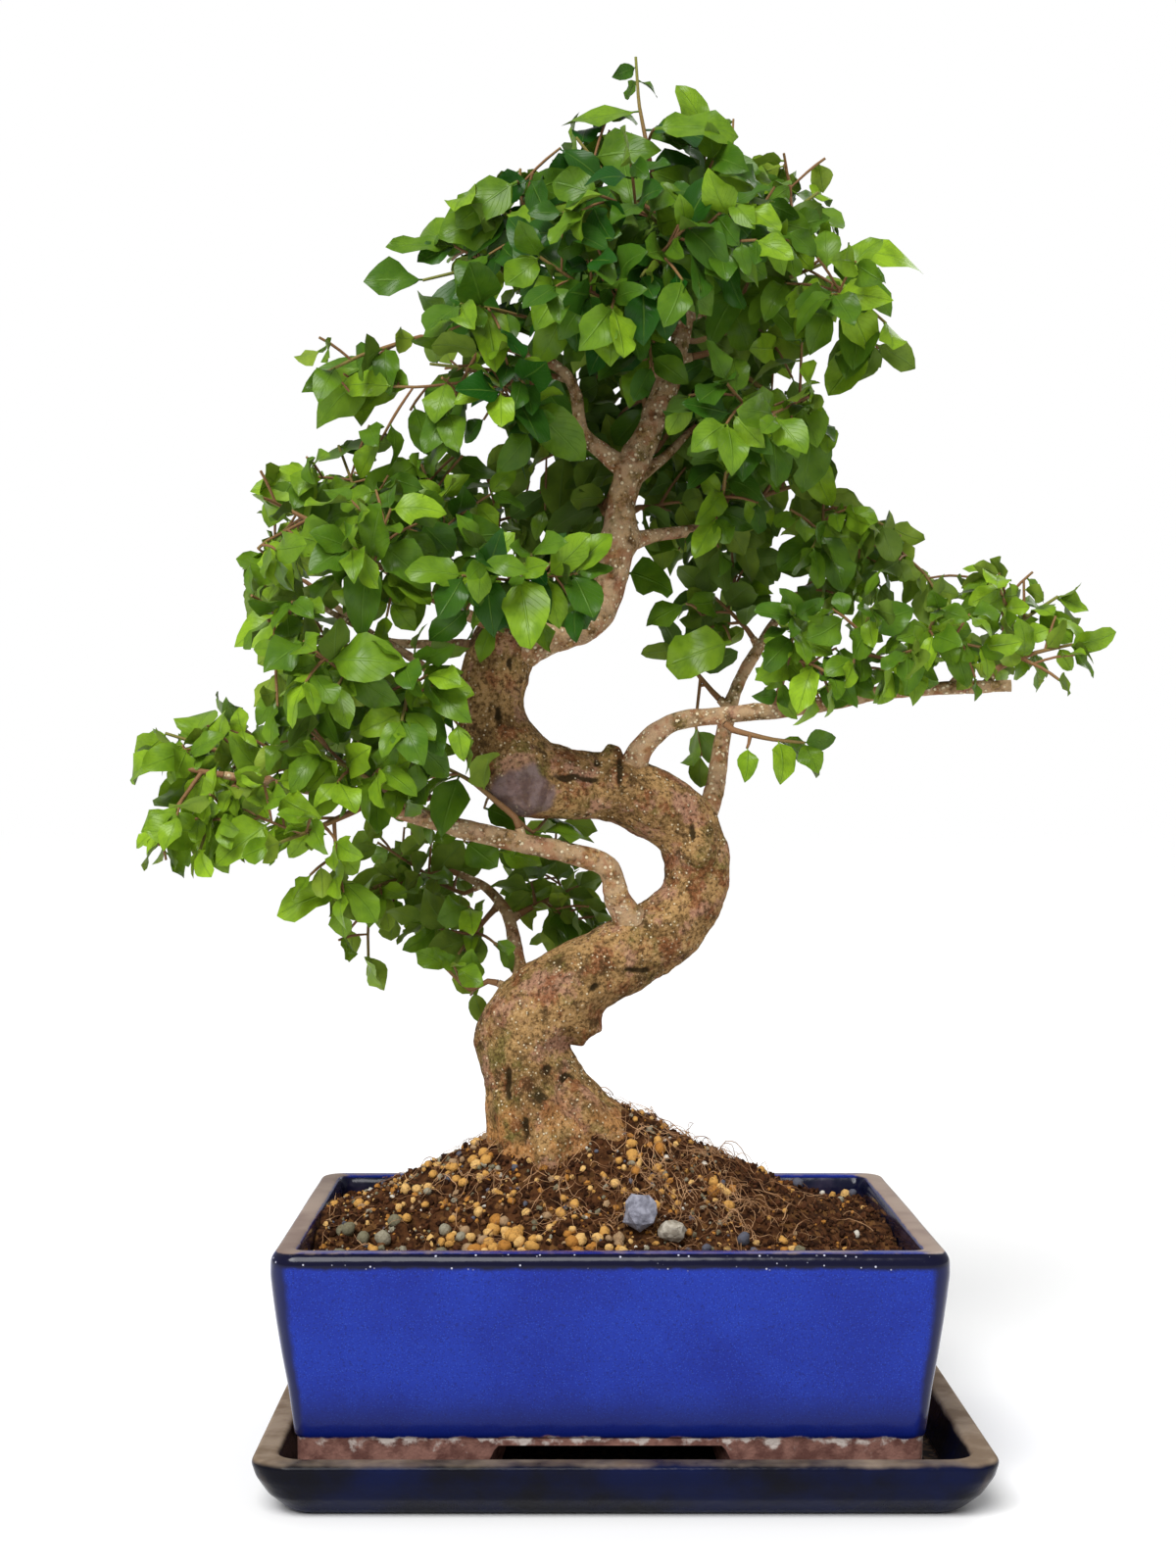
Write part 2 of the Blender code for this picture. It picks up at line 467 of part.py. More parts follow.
def make_pot():
    """The pot, then the hollow under it, the gaps between its feet and its two drainage holes."""
    finish = material("blue_glaze", POT_GLAZE, 0.15)
    pot = vessel("pot", POT_LENGTH, POT_DEPTH, POT_CORNER, POT_OUTSIDE, POT_INSIDE, finish)
    under_x = POT_LENGTH / 2 - POT_OUTSIDE[0][1] - FOOT_WALL
    under_y = POT_DEPTH / 2 - POT_OUTSIDE[0][1] - FOOT_WALL
    cut(pot, [
        box_cutter("hollow_cutter", (-under_x, -under_y, 0.0), (under_x, under_y, POT_UNDERSIDE)),
        arch_cutter("long_arch_cutter", LONG_ARCH, POT_DEPTH, True),
        arch_cutter("short_arch_cutter", SHORT_ARCH, POT_LENGTH, False),
        drain_cutter("left_drain_cutter", -DRAIN_OFFSET),
        drain_cutter("right_drain_cutter", DRAIN_OFFSET),
    ])
    return pot


def hole_rim():
    """The flare's outline with its gap, raised in a few steps to where it meets the mound."""
    ring = flare_ring(FLARE[2][0], SOIL_ROUND, RIM_GAP)
    for _ in range(RIM_STEPS):
        ring = flare_ring(mound(ring[:, 0], ring[:, 1]), SOIL_ROUND, RIM_GAP)
    return ring


def halves(face):
    """A four-sided face as two triangles, and any other face as it is."""
    return [face[:3], (face[0], *face[2:])] if len(face) == 4 else [face]


def flare_ring(z, sides, spread=0.0):
    """The lobed outline of the root flare at a height, or at one for each point, made wider by spread."""
    heights, centres, radii = np.array(FLARE).T
    angles = np.linspace(0, 2 * math.pi, sides, endpoint=False)
    lobes = sum(size * np.cos(count * angles + phase) for count, size, phase in FLARE_LOBES)
    radius = np.interp(z, heights, radii) * (1 + lobes) + spread
    centre = np.interp(z, heights, centres)
    return np.stack([centre + radius * np.cos(angles), radius * np.sin(angles), np.full(sides, z)], axis=1)


def mound(x, y):
    """Height of the soil: a blunt cone over the pot, with lumps from a few crossed waves."""
    off_x, off_y = (x - MOUND_CENTRE[0]) / MOUND_SPREAD[0], (y - MOUND_CENTRE[1]) / MOUND_SPREAD[1]
    cone = np.maximum(0, 1 - np.hypot(off_x, off_y)) ** MOUND_POWER
    along_x, along_y, slant_x, slant_y = LUMP_WAVES
    lumps = np.sin(along_x * x + 2) * np.sin(along_y * y + 1) + 0.6 * np.sin(slant_x * x + slant_y * y)
    return SOIL_EDGE + MOUND_RISE * cone + GRIT * lumps * (1 - 0.7 * cone)


def soil_ring(z):
    """The soil's outline against the pot's inner wall, its points spaced evenly."""
    heights, insets = np.array(POT_INSIDE[::-1]).T
    inset = np.interp(z, heights, insets) + WALL_GAP
    corners = rounded_rectangle(POT_LENGTH, POT_DEPTH, POT_CORNER, inset, z)
    closed = np.vstack([corners, corners[:1]])
    run = np.concatenate([[0], np.cumsum(np.linalg.norm(np.diff(closed, axis=0), axis=1))])
    places = (np.arange(SOIL_ROUND) + 0.5) * run[-1] / SOIL_ROUND - SOIL_START
    return np.stack([np.interp(places % run[-1], run, closed[:, k]) for k in range(3)], axis=1)


def make_soil():
    """Wall, top and the plain hole that the root flare stands in, as rings from outside to inside."""
    rings = [soil_ring(z) for z in (POT_FLOOR + SEAT_GAP, 0.060, SOIL_EDGE - 0.003)]
    edge, rim = rings[-1], hole_rim()
    for share in np.linspace(0.04, 1.0, SOIL_RINGS):
        ring = edge + (rim - edge) * share
        ring[:, 2] = mound(ring[:, 0], ring[:, 1])
        rings.append(ring)
    widest, bend = FLARE[1][0], FLARE[2][0]
    rings.append(flare_ring(np.minimum((rings[-1][:, 2] + widest) / 2, bend), SOIL_ROUND, RIM_GAP))
    rings.append(flare_ring(widest, SOIL_ROUND, HOLE_GAP))
    foot = flare_ring(FLARE[0][0], SOIL_ROUND, HOLE_GAP)
    foot[:, 2] -= SEAT_GAP
    rings.append(foot)
    points, faces = loft(rings)
    faces = [half for face in faces for half in halves(face)]
    return mesh_object("soil", points, faces, material("soil", SOIL_BROWN, 0.95))


def lump(centre, size, seed):
    """Points and faces of a rough stone: an icosphere whose points are moved in and out at random."""
    work = bmesh.new()
    bmesh.ops.create_icosphere(work, subdivisions=2, radius=1.0)
    draw = random.Random(seed)
    for point in work.verts:
        point.co *= draw.uniform(*STONE_ROUGH)
    points = np.array([tuple(v.co) for v in work.verts]) * size + centre
    faces = [[v.index for v in f.verts] for f in work.faces]
    work.free()
    return points, faces


def rest_on(points, ground):
    """The points, lowered until the nearest of them is a seat's gap above the ground."""
    drops = []
    for point in points:
        hit = ground.ray_cast(Vector((point[0], point[1], 0.3)), Vector((0, 0, -1)))[0]
        drops.append(point[2] - hit.z)
    return points - np.array([0, 0, min(drops) - STONE_GAP])


def make_stones(soil):
    ground = tree_of([v.co for v in soil.data.vertices], [f.vertices for f in soil.data.polygons])
    for name, (centre, size, seed, colour) in STONES.items():
        points, faces = lump(centre, size, seed)
        mesh_object(name, rest_on(points, ground), faces, material(name, colour, 0.8))


def spline(knots, spacing):
    """Points of a Catmull-Rom curve through the knots; further columns, such as a radius, come along."""
    knots = np.asarray(knots, float)
    knots = np.vstack([2 * knots[0] - knots[1], knots, 2 * knots[-1] - knots[-2]])
    pieces = []
    for a, b, c, d in zip(knots, knots[1:], knots[2:], knots[3:]):
        steps = max(1, round(float(np.linalg.norm((c - b)[:3])) / spacing))
        t = (np.arange(steps) / steps)[:, None]
        pieces.append(0.5 * (2 * b + (c - a) * t + (2 * a - 5 * b + 4 * c - d) * t**2
                             + (3 * b - a - 3 * c + d) * t**3))
    return np.vstack(pieces + [knots[-2:-1]])


def runs(path):
    """Distance along a path to each of its points."""
    return np.concatenate([[0.0], np.cumsum(np.linalg.norm(np.diff(path[:, :3], axis=0), axis=1))])


def along(path, distance):
    run = runs(path)
    return np.array([np.interp(distance, run, path[:, k]) for k in range(path.shape[1])])


def heading(path, distance):
    return unit((along(path, distance + 0.002) - along(path, distance - 0.002))[:3])


def tube(path, sides):
    """A closed tube round a path of (X, Y, Z, radius), turned as little as possible from ring to ring."""
    steps = np.gradient(path[:, :3], axis=0)
    steps /= np.linalg.norm(steps, axis=1)[:, None]
    across = unit(np.cross(steps[0], UP if abs(steps[0][2]) < 0.9 else (1.0, 0.0, 0.0)))
    angles = np.linspace(0, 2 * math.pi, sides, endpoint=False)
    rings = []
    for point, forward in zip(path, steps):
        across = unit(across - np.dot(across, forward) * forward)
        other = np.cross(forward, across)
        around = np.outer(np.cos(angles), across) + np.outer(np.sin(angles), other)
        rings.append(point[:3] + point[3] * around)
    return loft(rings)


def tree_of(points, faces):
    return BVHTree.FromPolygons([tuple(p) for p in points], [tuple(f) for f in faces])


def fuse(name, pieces, finish):
    """Joins closed pieces into one body with a single Boolean union on a collection."""
    body = mesh_object(name, *pieces[0], finish)
    if len(pieces) == 1:
        return body
    parts = bpy.data.collections.new(name + "_pieces")
    bpy.context.scene.collection.children.link(parts)
    for points, faces in pieces[1:]:
        mesh_object(name + "_piece", points, faces, None, parts)
    step = body.modifiers.new("union", "BOOLEAN")
    step.operation = "UNION"
    step.operand_type = "COLLECTION"
    step.collection = parts
    step.solver = "MANIFOLD"
    apply_modifiers(body)
    for piece in list(parts.objects):
        bpy.data.objects.remove(piece, do_unlink=True)
    bpy.data.collections.remove(parts)
    return body


def shoot_seat(host, share, target):
    """Start, direction and radius of a shoot, and the spur on the limb that it grows from, if any."""
    distance = share * runs(host)[-1]
    point, forward = along(host, distance), heading(host, distance)
    if share > 0.999:
        return point[:3] + forward * SEAT_GAP, forward, point[3], None
    toward = unit(np.asarray(target) - point[:3])
    side = toward - np.dot(toward, forward) * forward
    out = unit(unit(side) + SPUR_LEAN * np.sign(np.dot(toward, forward)) * forward)
    radius = min(point[3] * STEM_SHARE, STEM_MOST)
    sine = np.linalg.norm(np.cross(out, forward))
    length = (point[3] + SPUR_CLEAR + radius * abs(np.dot(out, forward))) / sine
    spur = np.array([[*point[:3], radius * SPUR_SPREAD], [*(point[:3] + out * length), radius]])
    return point[:3] + out * (length + SEAT_GAP), out, radius, spur


class Space:
    """What has been placed so far, kept as search trees, so that the next piece can be put clear of it."""

    def __init__(self):
        self.trees = []
        self.owners = []
        self.spheres = np.empty((0, 4))

    def add(self, owner, points, faces):
        centre = np.mean(points, axis=0)
        reach = np.linalg.norm(points - centre, axis=1).max()
        self.trees.append(tree_of(points, faces))
        self.owners.append(owner)
        self.spheres = np.vstack([self.spheres, [*centre, reach]])

    def crossed(self, points, faces, own=()):
        """Whether these faces meet anything placed, other than what belongs to own."""
        centre = np.mean(points, axis=0)
        reach = np.linalg.norm(points - centre, axis=1).max()
        apart = np.linalg.norm(self.spheres[:, :3] - centre, axis=1)
        near = np.nonzero(apart < self.spheres[:, 3] + reach)[0]
        tested = tree_of(points, faces)
        return any(self.owners[k] not in own and self.trees[k].overlap(tested) for k in near)


def twig_path(start, out, radius, stem, tip, bend, lead):
    """A twig's centre line with its radius: straight out, through its stem's points, bowed, to its tip."""
    knots = [start, start + out * lead] if lead else [start]
    if stem:
        knots += [np.array(point, float) for point in stem]
    else:
        knots.append((start + tip) / 2 + out * TWIG_BOW * np.linalg.norm(tip - start))
    knots[-1] = knots[-1] + bend
    path = spline(knots + [np.array(tip, float)], TWIG_STEP)
    share = runs(path) / runs(path)[-1]
    return np.column_stack([path, radius + (TWIG_END - radius) * share ** TWIG_TAPER])


def free_twig(space, node, key, start, out, radius, stem, tip, lead):
    """The first way to bow the twig that leaves it clear of everything outside its own shoot."""
    draw = random.Random(key)
    for attempt in range(TWIG_TRIES):
        bend = np.array([draw.gauss(0, 1) for _ in range(3)]) * TWIG_SWERVE * attempt
        path = twig_path(start, out, radius, stem, np.asarray(tip, float), bend, lead)
        beyond_seat = path[1:] if lead else path
        if not space.crossed(*tube(beyond_seat + [0.0, 0.0, 0.0, LEAF_GUARD], 4), own=(node,)):
            return path
    return None


def branch_point(twigs, tip):
    """Where a further twig leaves the shoot: near its tip, with the least turn and apart from other forks."""
    best = None
    for path in twigs:
        length = runs(path)[-1]
        for share in np.linspace(*FORK_RANGE, 9):
            point = along(path, share * length)
            forward = heading(path, share * length)
            to = np.asarray(tip) - point[:3]
            cost = np.linalg.norm(to) * (1 + FORK_TURN - FORK_TURN * np.dot(unit(to), forward))
            apart = min(np.linalg.norm(point[:3] - other[0, :3]) for other in twigs)
            if apart > FORK_APART and (best is None or cost < best[0]):
                best = (cost, point, forward)
    _, point, forward = best
    return point[:3], unit(unit(np.asarray(tip) - point[:3]) + FORK_LEAN * forward), point[3]


def grow_twigs(space, node, host, share, stem, tips):
    """Twigs of one shoot, as paths: its stem to the first tip, then one to each other tip."""
    start, out, radius, _ = shoot_seat(host, share, (stem or tips)[0])
    twigs, lead = [], STEM_LEAD
    for number, tip in enumerate(tips):
        if number:
            start, out, radius = branch_point(twigs, tip)
            radius, stem, lead = max(radius * FORK_SHARE, TWIG_END), [], 0.0
        path = free_twig(space, node, f"{node}/{number}", start, out, radius, stem, tip, lead)
        if path is not None:
            twigs.append(path)
            space.add(node, *tube(path, 4))
        elif not number:
            raise ValueError(node + " finds no free way for its stem")
    return twigs


def leaf_frame(path, distance, side, end, draw, attempt):
    """Root of a leaf's stalk, the direction it grows in and the way its face looks."""
    point = along(path, distance)[:3]
    forward = heading(path, distance)
    outward = unit([point[0] - 0.005, point[1] * 1.2, 0.0])
    front = -1.0 if point[1] < 0.012 else 1.0
    loose = (LOOSE + LOOSER * attempt) * np.array([draw.gauss(0, 1) for _ in range(3)])
    face = unit(LOOK_UP * UP + LOOK_OUT * outward + (0, LOOK_SIDE * front, 0) + loose)
    across = unit(np.cross(forward, face)) * side
    spread = math.radians(draw.uniform(*END_SPREAD) if end else draw.uniform(*SIDE_SPREAD))
    grow = unit(math.cos(spread) * forward + math.sin(spread) * across - draw.uniform(*LEAF_HANG) * UP)
    return point, grow, unit(face - np.dot(face, grow) * grow)


def make_leaf(path, distance, rank, side, length, attempt, draw):
    """One leaf of the pair that stands rank pairs back from the twig's end, at a distance along it."""
    root, grow, face = leaf_frame(path, distance, side, rank == 0, draw, attempt)
    length = length * PAIR_LENGTHS[rank] * draw.uniform(*LEAF_GROWTH)
    width = length * draw.uniform(*LEAF_SLENDER)
    return {"root": root, "grow": grow, "face": face, "length": length, "width": width, "distance": distance,
            "fold": draw.uniform(*LEAF_FOLD), "droop": draw.uniform(*LEAF_DROOP)}


def leaf_points(leaf, guard=0.0, start=0.0):
    """A thin blade, folded along its midrib and arched to its tip, on a three-sided foot at a share start."""
    grow, face, length = leaf["grow"], leaf["face"], leaf["length"]
    across = np.cross(face, grow)
    half = leaf["width"] / 2 + guard
    thin = LEAF_FOOT_RADIUS + guard / 2
    wide = thin + half * RIM[0][1] * start / RIM[0][0]

    def place(u, v):
        rise = leaf["fold"] * half * abs(v) - leaf["droop"] * length * u * u
        return leaf["root"] + grow * length * u + across * half * v + face * rise

    low = leaf["root"] + grow * length * start
    foot = [low + across * wide * a + face * thin * b for a, b in LEAF_FOOT]
    rim = [place(u, v) for u, v in RIM]
    keel = (1 - KEEL) * np.mean(foot[:2], axis=0) + KEEL * rim[2] - face * (LEAF_THICK + guard)
    return np.array(foot + rim + [keel])


def leaf_guard(leaf, start):
    """A fattened leaf, from a share start of its length on, for testing where it fits."""
    points = leaf_points(leaf, LEAF_GUARD, start)
    arch = leaf["droop"] * leaf["length"] * KEEL * KEEL
    over = points[8] + leaf["face"] * (LEAF_THICK + 2 * LEAF_GUARD + arch)
    return np.vstack([points, [over]]), GUARD_FACES


def leaf_fits(space, node, leaf):
    """Whether a leaf is clear of other shoots and the wood, and its blade of its own shoot as well."""
    whole, blade = leaf_guard(leaf, 0.0), leaf_guard(leaf, STALK_SHARE)
    if space.crossed(*whole, own=(node, node + " leaf", node + " blade")):
        return False
    return not space.crossed(*blade, own=(node + " leaf",))


def keep_leaf(space, node, own, leaf):
    """Adds a leaf to those of its twig, and to the space both whole and without its foot."""
    own.append(leaf)
    space.add(node + " leaf", leaf_points(leaf), TOP_FACES + UNDER_FACES)
    space.add(node + " blade", leaf_points(leaf, 0.0, STALK_SHARE), TOP_FACES + UNDER_FACES)


def sideways(path, leaf):
    """The way that a leaf leaves its twig, seen along the twig."""
    forward = heading(path, leaf["distance"])
    return unit(leaf["grow"] - np.dot(leaf["grow"], forward) * forward)


def free_leaf(space, node, key, path, own, rank, side, length):
    """The first way to hold a leaf that keeps it clear of all that is placed, if its twig is long enough."""
    draw = random.Random(key)
    distance = runs(path)[-1] - BAND / 2 - rank * PAIR_SPACING * length
    mates = [sideways(path, other) for other in own if abs(other["distance"] - distance) < SAME_BAND]
    for attempt in range(LEAF_TRIES if distance > BARE_START[rank] else 0):
        leaf = make_leaf(path, distance, rank, side, length, attempt, draw)
        turned = all(np.dot(mate, sideways(path, leaf)) < MATE_TURN for mate in mates)
        if turned and leaf_fits(space, node, leaf):
            return leaf
    return None


def large_leaf(twigs, root, tip, width):
    """The twig that passes nearest, and a leaf of a chosen size from there to a chosen point."""
    best = None
    for number, path in enumerate(twigs):
        for distance in np.arange(BAND * 2, runs(path)[-1], 0.001):
            apart = np.linalg.norm(along(path, distance)[:3] - root)
            if best is None or apart < best[0]:
                best = (apart, number, distance)
    _, number, distance = best
    distance = min(distance, runs(twigs[number])[-1] - BAND / 2)
    root = along(twigs[number], distance)[:3]
    grow = unit(np.asarray(tip) - root)
    face = unit(np.array(LARGE_LOOK) - np.dot(LARGE_LOOK, grow) * grow)
    leaf = {"root": root, "grow": grow, "face": face, "width": width, "distance": distance}
    leaf.update(length=np.linalg.norm(np.asarray(tip) - root), fold=LARGE_FOLD, droop=LARGE_DROOP)
    return number, leaf


def twig_rings(path, leaves):
    """Rings of a leafy twig: distance, the way its first corner looks, and the leaves that follow it."""
    bands = []
    for leaf in sorted(leaves, key=lambda leaf: leaf["distance"]):
        if bands and leaf["distance"] - bands[-1][0] < SAME_BAND:
            bands[-1][1].append(leaf)
        else:
            bands.append((leaf["distance"], [leaf]))
    rings = [(run, None, []) for run in runs(path) if all(abs(run - band) > BAND for band, _ in bands)]
    for distance, group in bands:
        up = sum(leaf["face"] for leaf in group)
        rings += [(distance - BAND / 2, up, group), (distance + BAND / 2, up, [])]
    return sorted(rings, key=lambda ring: ring[0])


def attach(points, faces, side, leaf):
    """Draws a leaf out of half of one side face of the twig, whose three corners are the leaf's foot."""
    blade = leaf_points(leaf)

    def misfit(turn):
        return sum(np.linalg.norm(points[side[(k + turn) % 3]] - blade[k]) for k in range(3))

    turn = min(range(3), key=misfit)
    corners = [side[(k + turn) % 3] for k in range(3)] + [len(points) + k for k in range(len(blade) - 3)]
    faces.append((side[0], side[2], side[3]))
    faces.extend(tuple(corners[n] for n in face) for face in TOP_FACES + UNDER_FACES)
    points.extend(blade[3:])


def leafy_twig(path, leaves):
    """A three-sided twig, closed at both ends, with each leaf drawn out of one of its side faces."""
    points, faces, group = [], [(2, 1, 0)], []
    across, turn, before, third = None, 0.0, None, 2 * math.pi / 3
    for distance, up, following in twig_rings(path, leaves):
        here, forward = along(path, distance), heading(path, distance)
        if across is None:
            across = np.cross(forward, UP if abs(forward[2]) < 0.9 else (1.0, 0.0, 0.0))
        across = unit(across - np.dot(across, forward) * forward)
        other = np.cross(forward, across)
        if up is not None:
            wanted = math.atan2(np.dot(up, other), np.dot(up, across))
            turn = wanted - third * round((wanted - turn) / third)
        ring = [len(points) + k for k in range(3)]
        corners = turn + third * np.arange(3)
        points += [here[:3] + here[3] * (math.cos(a) * across + math.sin(a) * other) for a in corners]
        if before:
            free = {}
            for k, following_corner in enumerate((1, 2, 0)):
                side = (before[k], before[following_corner], ring[following_corner], ring[k])
                free[side] = corners[k] + third / 2
            for leaf in group:
                toward = math.atan2(np.dot(leaf["grow"], other), np.dot(leaf["grow"], across))
                side = max(free, key=lambda face: math.cos(free[face] - toward))
                del free[side]
                attach(points, faces, side, leaf)
            faces += list(free)
        before, group = ring, following
    faces.append(tuple(before))
    return np.array(points), faces


def knot_shape(centre, direction, radius, rise):
    """A low blunt cone whose flat end is a healed scar or a cut stub."""
    foot = np.array([*centre, radius * KNOT_FOOT])
    end = np.array([*(np.array(centre) + unit(direction) * rise), radius * KNOT_END])
    return tube(np.array([foot, foot * 0.25 + end * 0.75, end]), LIMB_SIDES)


def plan_tree():
    """The wood, and the twigs and leaves of every shoot, each placed clear of what was placed before it."""
    space = Space()
    wood = [loft([flare_ring(z, FLARE_SIDES) for z, _, _ in FLARE])]
    wood.append(tube(spline(TRUNK, TRUNK_STEP), TRUNK_SIDES))
    wood += [tube(spline(knots, LIMB_STEP), LIMB_SIDES) for knots in LIMBS.values()]
    wood += [tube(spline(knots, LIMB_STEP), ROOT_SIDES) for knots in SURFACE_ROOTS]
    wood += [knot_shape(*knot) for knot in KNOTS]
    hosts = {"trunk": spline(TRUNK, 0.003), **{name: spline(knots, 0.003) for name, knots in LIMBS.items()}}
    rows = [(f"shoot_{limb}_{number}", limb, *row)
            for limb in SHOOTS for number, row in enumerate(SHOOTS[limb], start=1)]
    for _, limb, share, stem, tips in rows:
        spur = shoot_seat(hosts[limb], share, (stem or tips)[0])[3]
        if spur is not None:
            wood.append(tube(spur, SPUR_SIDES))
    for shape in wood:
        space.add("trunk", *shape)
    twigs = {}
    for node, limb, share, stem, tips in rows:
        twigs[node] = grow_twigs(space, node, hosts[limb], share, stem, tips)
    leaves = {node: [[] for _ in twigs[node]] for node in twigs}
    for node, chosen in LARGE_LEAVES.items():
        for root, tip, width in chosen:
            twig, leaf = large_leaf(twigs[node], root, tip, width)
            if leaf_fits(space, node, leaf):
                keep_leaf(space, node, leaves[node][twig], leaf)
    large = {(node, twig) for node in leaves for twig, own in enumerate(leaves[node]) if own}
    for rank, side in LEAF_PLACES:
        for node, limb, *_ in rows:
            length = TOP_LEAF_LENGTH if node == TOP_SHOOT else LEAF_LENGTH[limb]
            for twig, (path, own) in enumerate(zip(twigs[node], leaves[node])):
                if rank == 0 and (node, twig) in large:
                    continue
                leaf = free_leaf(space, node, f"{node}/{twig}/{rank}/{side}", path, own, rank, side, length)
                if leaf is not None:
                    keep_leaf(space, node, own, leaf)
    return wood, twigs, leaves


def make_tree():
    wood, twigs, leaves = plan_tree()
    fuse("trunk", wood, material("bark", BARK, 0.85))
    for number, node in enumerate(twigs):
        pieces = [leafy_twig(path, own) for path, own in zip(twigs[node], leaves[node])]
        fuse(node, pieces, material(node + "_leaf", GREENS[number % len(GREENS)], 0.4))


def main():
    clear_scene()
    make_tray()
    make_pot()
    make_stones(make_soil())
    make_tree()


main()
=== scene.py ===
# %% [markdown]
# # A Chinese privet bonsai in a blue glazed pot
#
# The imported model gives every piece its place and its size. This script dresses it: a glazed drip tray,
# a glazed pot, gritty soil, old bark and several hundred thin leaves. Each shape is a numpy grid or a
# profile that is carried along a path, and each finish is a small tree of shader nodes.

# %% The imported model
import math
import random

import bmesh
import bpy
import numpy as np
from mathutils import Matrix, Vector
from mathutils.bvhtree import BVHTree


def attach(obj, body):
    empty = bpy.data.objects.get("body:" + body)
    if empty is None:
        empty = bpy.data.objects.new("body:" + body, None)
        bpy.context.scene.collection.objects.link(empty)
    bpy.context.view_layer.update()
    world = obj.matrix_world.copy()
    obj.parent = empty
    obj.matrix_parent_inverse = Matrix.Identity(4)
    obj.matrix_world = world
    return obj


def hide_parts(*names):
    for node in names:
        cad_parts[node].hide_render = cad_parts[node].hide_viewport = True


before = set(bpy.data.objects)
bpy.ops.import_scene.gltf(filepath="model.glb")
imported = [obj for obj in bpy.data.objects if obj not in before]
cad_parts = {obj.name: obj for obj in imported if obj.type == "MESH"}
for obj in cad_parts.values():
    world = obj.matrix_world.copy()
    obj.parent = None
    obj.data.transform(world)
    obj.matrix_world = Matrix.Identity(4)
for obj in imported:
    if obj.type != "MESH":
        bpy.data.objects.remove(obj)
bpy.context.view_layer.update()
UP = np.array([0.0, 0.0, 1.0])
print("packed nodes:", len(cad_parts))

# %% [markdown]
# ## The camera
#
# The photograph looks at the tree level, from straight in front and from under a metre away. A level camera
# keeps upright lines upright. A small shift of the lens, and not a tilt, puts the tree where it is in the
# picture.

# %% Camera
PICTURE_HEIGHT = 1600       # pixels
FOCAL_LENGTH = 2295         # pixels
LENS_SHIFT = (26, 22)       # pixels
CAMERA_PLACE = (-0.0178, -0.9255, 0.263)

lens = bpy.data.cameras.new("studio_lens")
lens.sensor_width = 36
lens.lens = FOCAL_LENGTH / PICTURE_HEIGHT * lens.sensor_width
lens.shift_x, lens.shift_y = (pixels / PICTURE_HEIGHT for pixels in LENS_SHIFT)
lens.clip_start = 0.01
camera = bpy.data.objects.new("studio_camera", lens)
camera.location = CAMERA_PLACE
camera.rotation_euler = (math.pi / 2, 0, 0)
bpy.context.scene.collection.objects.link(camera)
bpy.context.scene.camera = camera
print("lens:", round(lens.lens, 2), "mm")

# %% [markdown]
# ## Meshes from arrays
#
# A surface is a grid of points, rows by columns, and its faces are the grid's cells. Blender takes both as
# flat arrays through foreach_set, which is far quicker than adding points one by one.


# %% Grids and meshes
def grid_cells(rows, columns, first=0):
    """Four corners of every cell of a grid whose last column is joined to its first."""
    here = first + np.arange(rows * columns).reshape(rows, columns)
    following = np.roll(here, -1, axis=1)
    return np.stack([here[:-1], following[:-1], following[1:], here[1:]], axis=-1).reshape(-1, 4)


def closed_grid(points):
    """Points and faces of a grid of rings: its cells, and one flat face over each of its two ends."""
    rows, columns = points.shape[:2]
    last = (rows - 1) * columns
    ends = np.stack([np.arange(columns)[::-1], last + np.arange(columns)])
    return points.reshape(-1, 3), [grid_cells(rows, columns), ends]


def add_piece(name, points, faces, finishes, slot, replaced=(), crease=40, **attributes):
    """A mesh from points and arrays of faces, riding on the part's one body; attributes go on its points."""
    mesh = bpy.data.meshes.new(name)
    corners = np.concatenate([rows.ravel() for rows in faces]).astype(np.int32)
    sizes = np.concatenate([np.full(len(rows), rows.shape[1]) for rows in faces])
    mesh.vertices.add(len(points))
    mesh.vertices.foreach_set("co", np.asarray(points, np.float32).ravel())
    mesh.loops.add(len(corners))
    mesh.loops.foreach_set("vertex_index", corners)
    mesh.polygons.add(len(sizes))
    mesh.polygons.foreach_set("loop_start", (np.cumsum(sizes) - sizes).astype(np.int32))
    mesh.update(calc_edges=True)
    mesh.shade_smooth()
    mesh.set_sharp_from_angle(angle=math.radians(crease))
    for title, values in attributes.items():
        made = mesh.attributes.new(title, "FLOAT", "POINT")
        made.data.foreach_set("value", values.astype(np.float32).ravel())
    for finish in finishes:
        mesh.materials.append(finish)
    piece = bpy.data.objects.new(name, mesh)
    bpy.context.scene.collection.objects.link(piece)
    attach(piece, "root")
    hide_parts(*replaced)
    print(f"{name}: {len(points)} points, {len(sizes)} faces")
    return piece


# %% [markdown]
# ## Noise
#
# Bark, grit and glaze are never even. Value noise is the simplest cure: every corner of a lattice gets a
# random number, and the numbers are blended smoothly inside each cell. Layers of it, each half as coarse and
# half as high as the one before, look like worn natural stuff.


# %% Value noise
def noise(points, size, seed=0):
    """Smooth noise from -1 to 1: random numbers at the corners of a lattice, blended by 3t^2 - 2t^3."""
    cells = np.asarray(points, float) / size
    base = np.floor(cells).astype(np.int64)
    share = cells - base
    share = share * share * (3 - 2 * share)
    total = np.zeros(base.shape[:-1])
    for corner in np.ndindex(2, 2, 2):
        key = (base + corner) @ np.array([374761393, 668265263, 1440662683]) + seed * 1013904223
        key = ((key ^ (key >> 13)) * 1274126177) & 0x7FFFFFFF
        value = ((key ^ (key >> 15)) & 0xFFFF) / 0x7FFF - 1
        total += value * np.prod(np.where(corner, share, 1 - share), axis=-1)
    return total


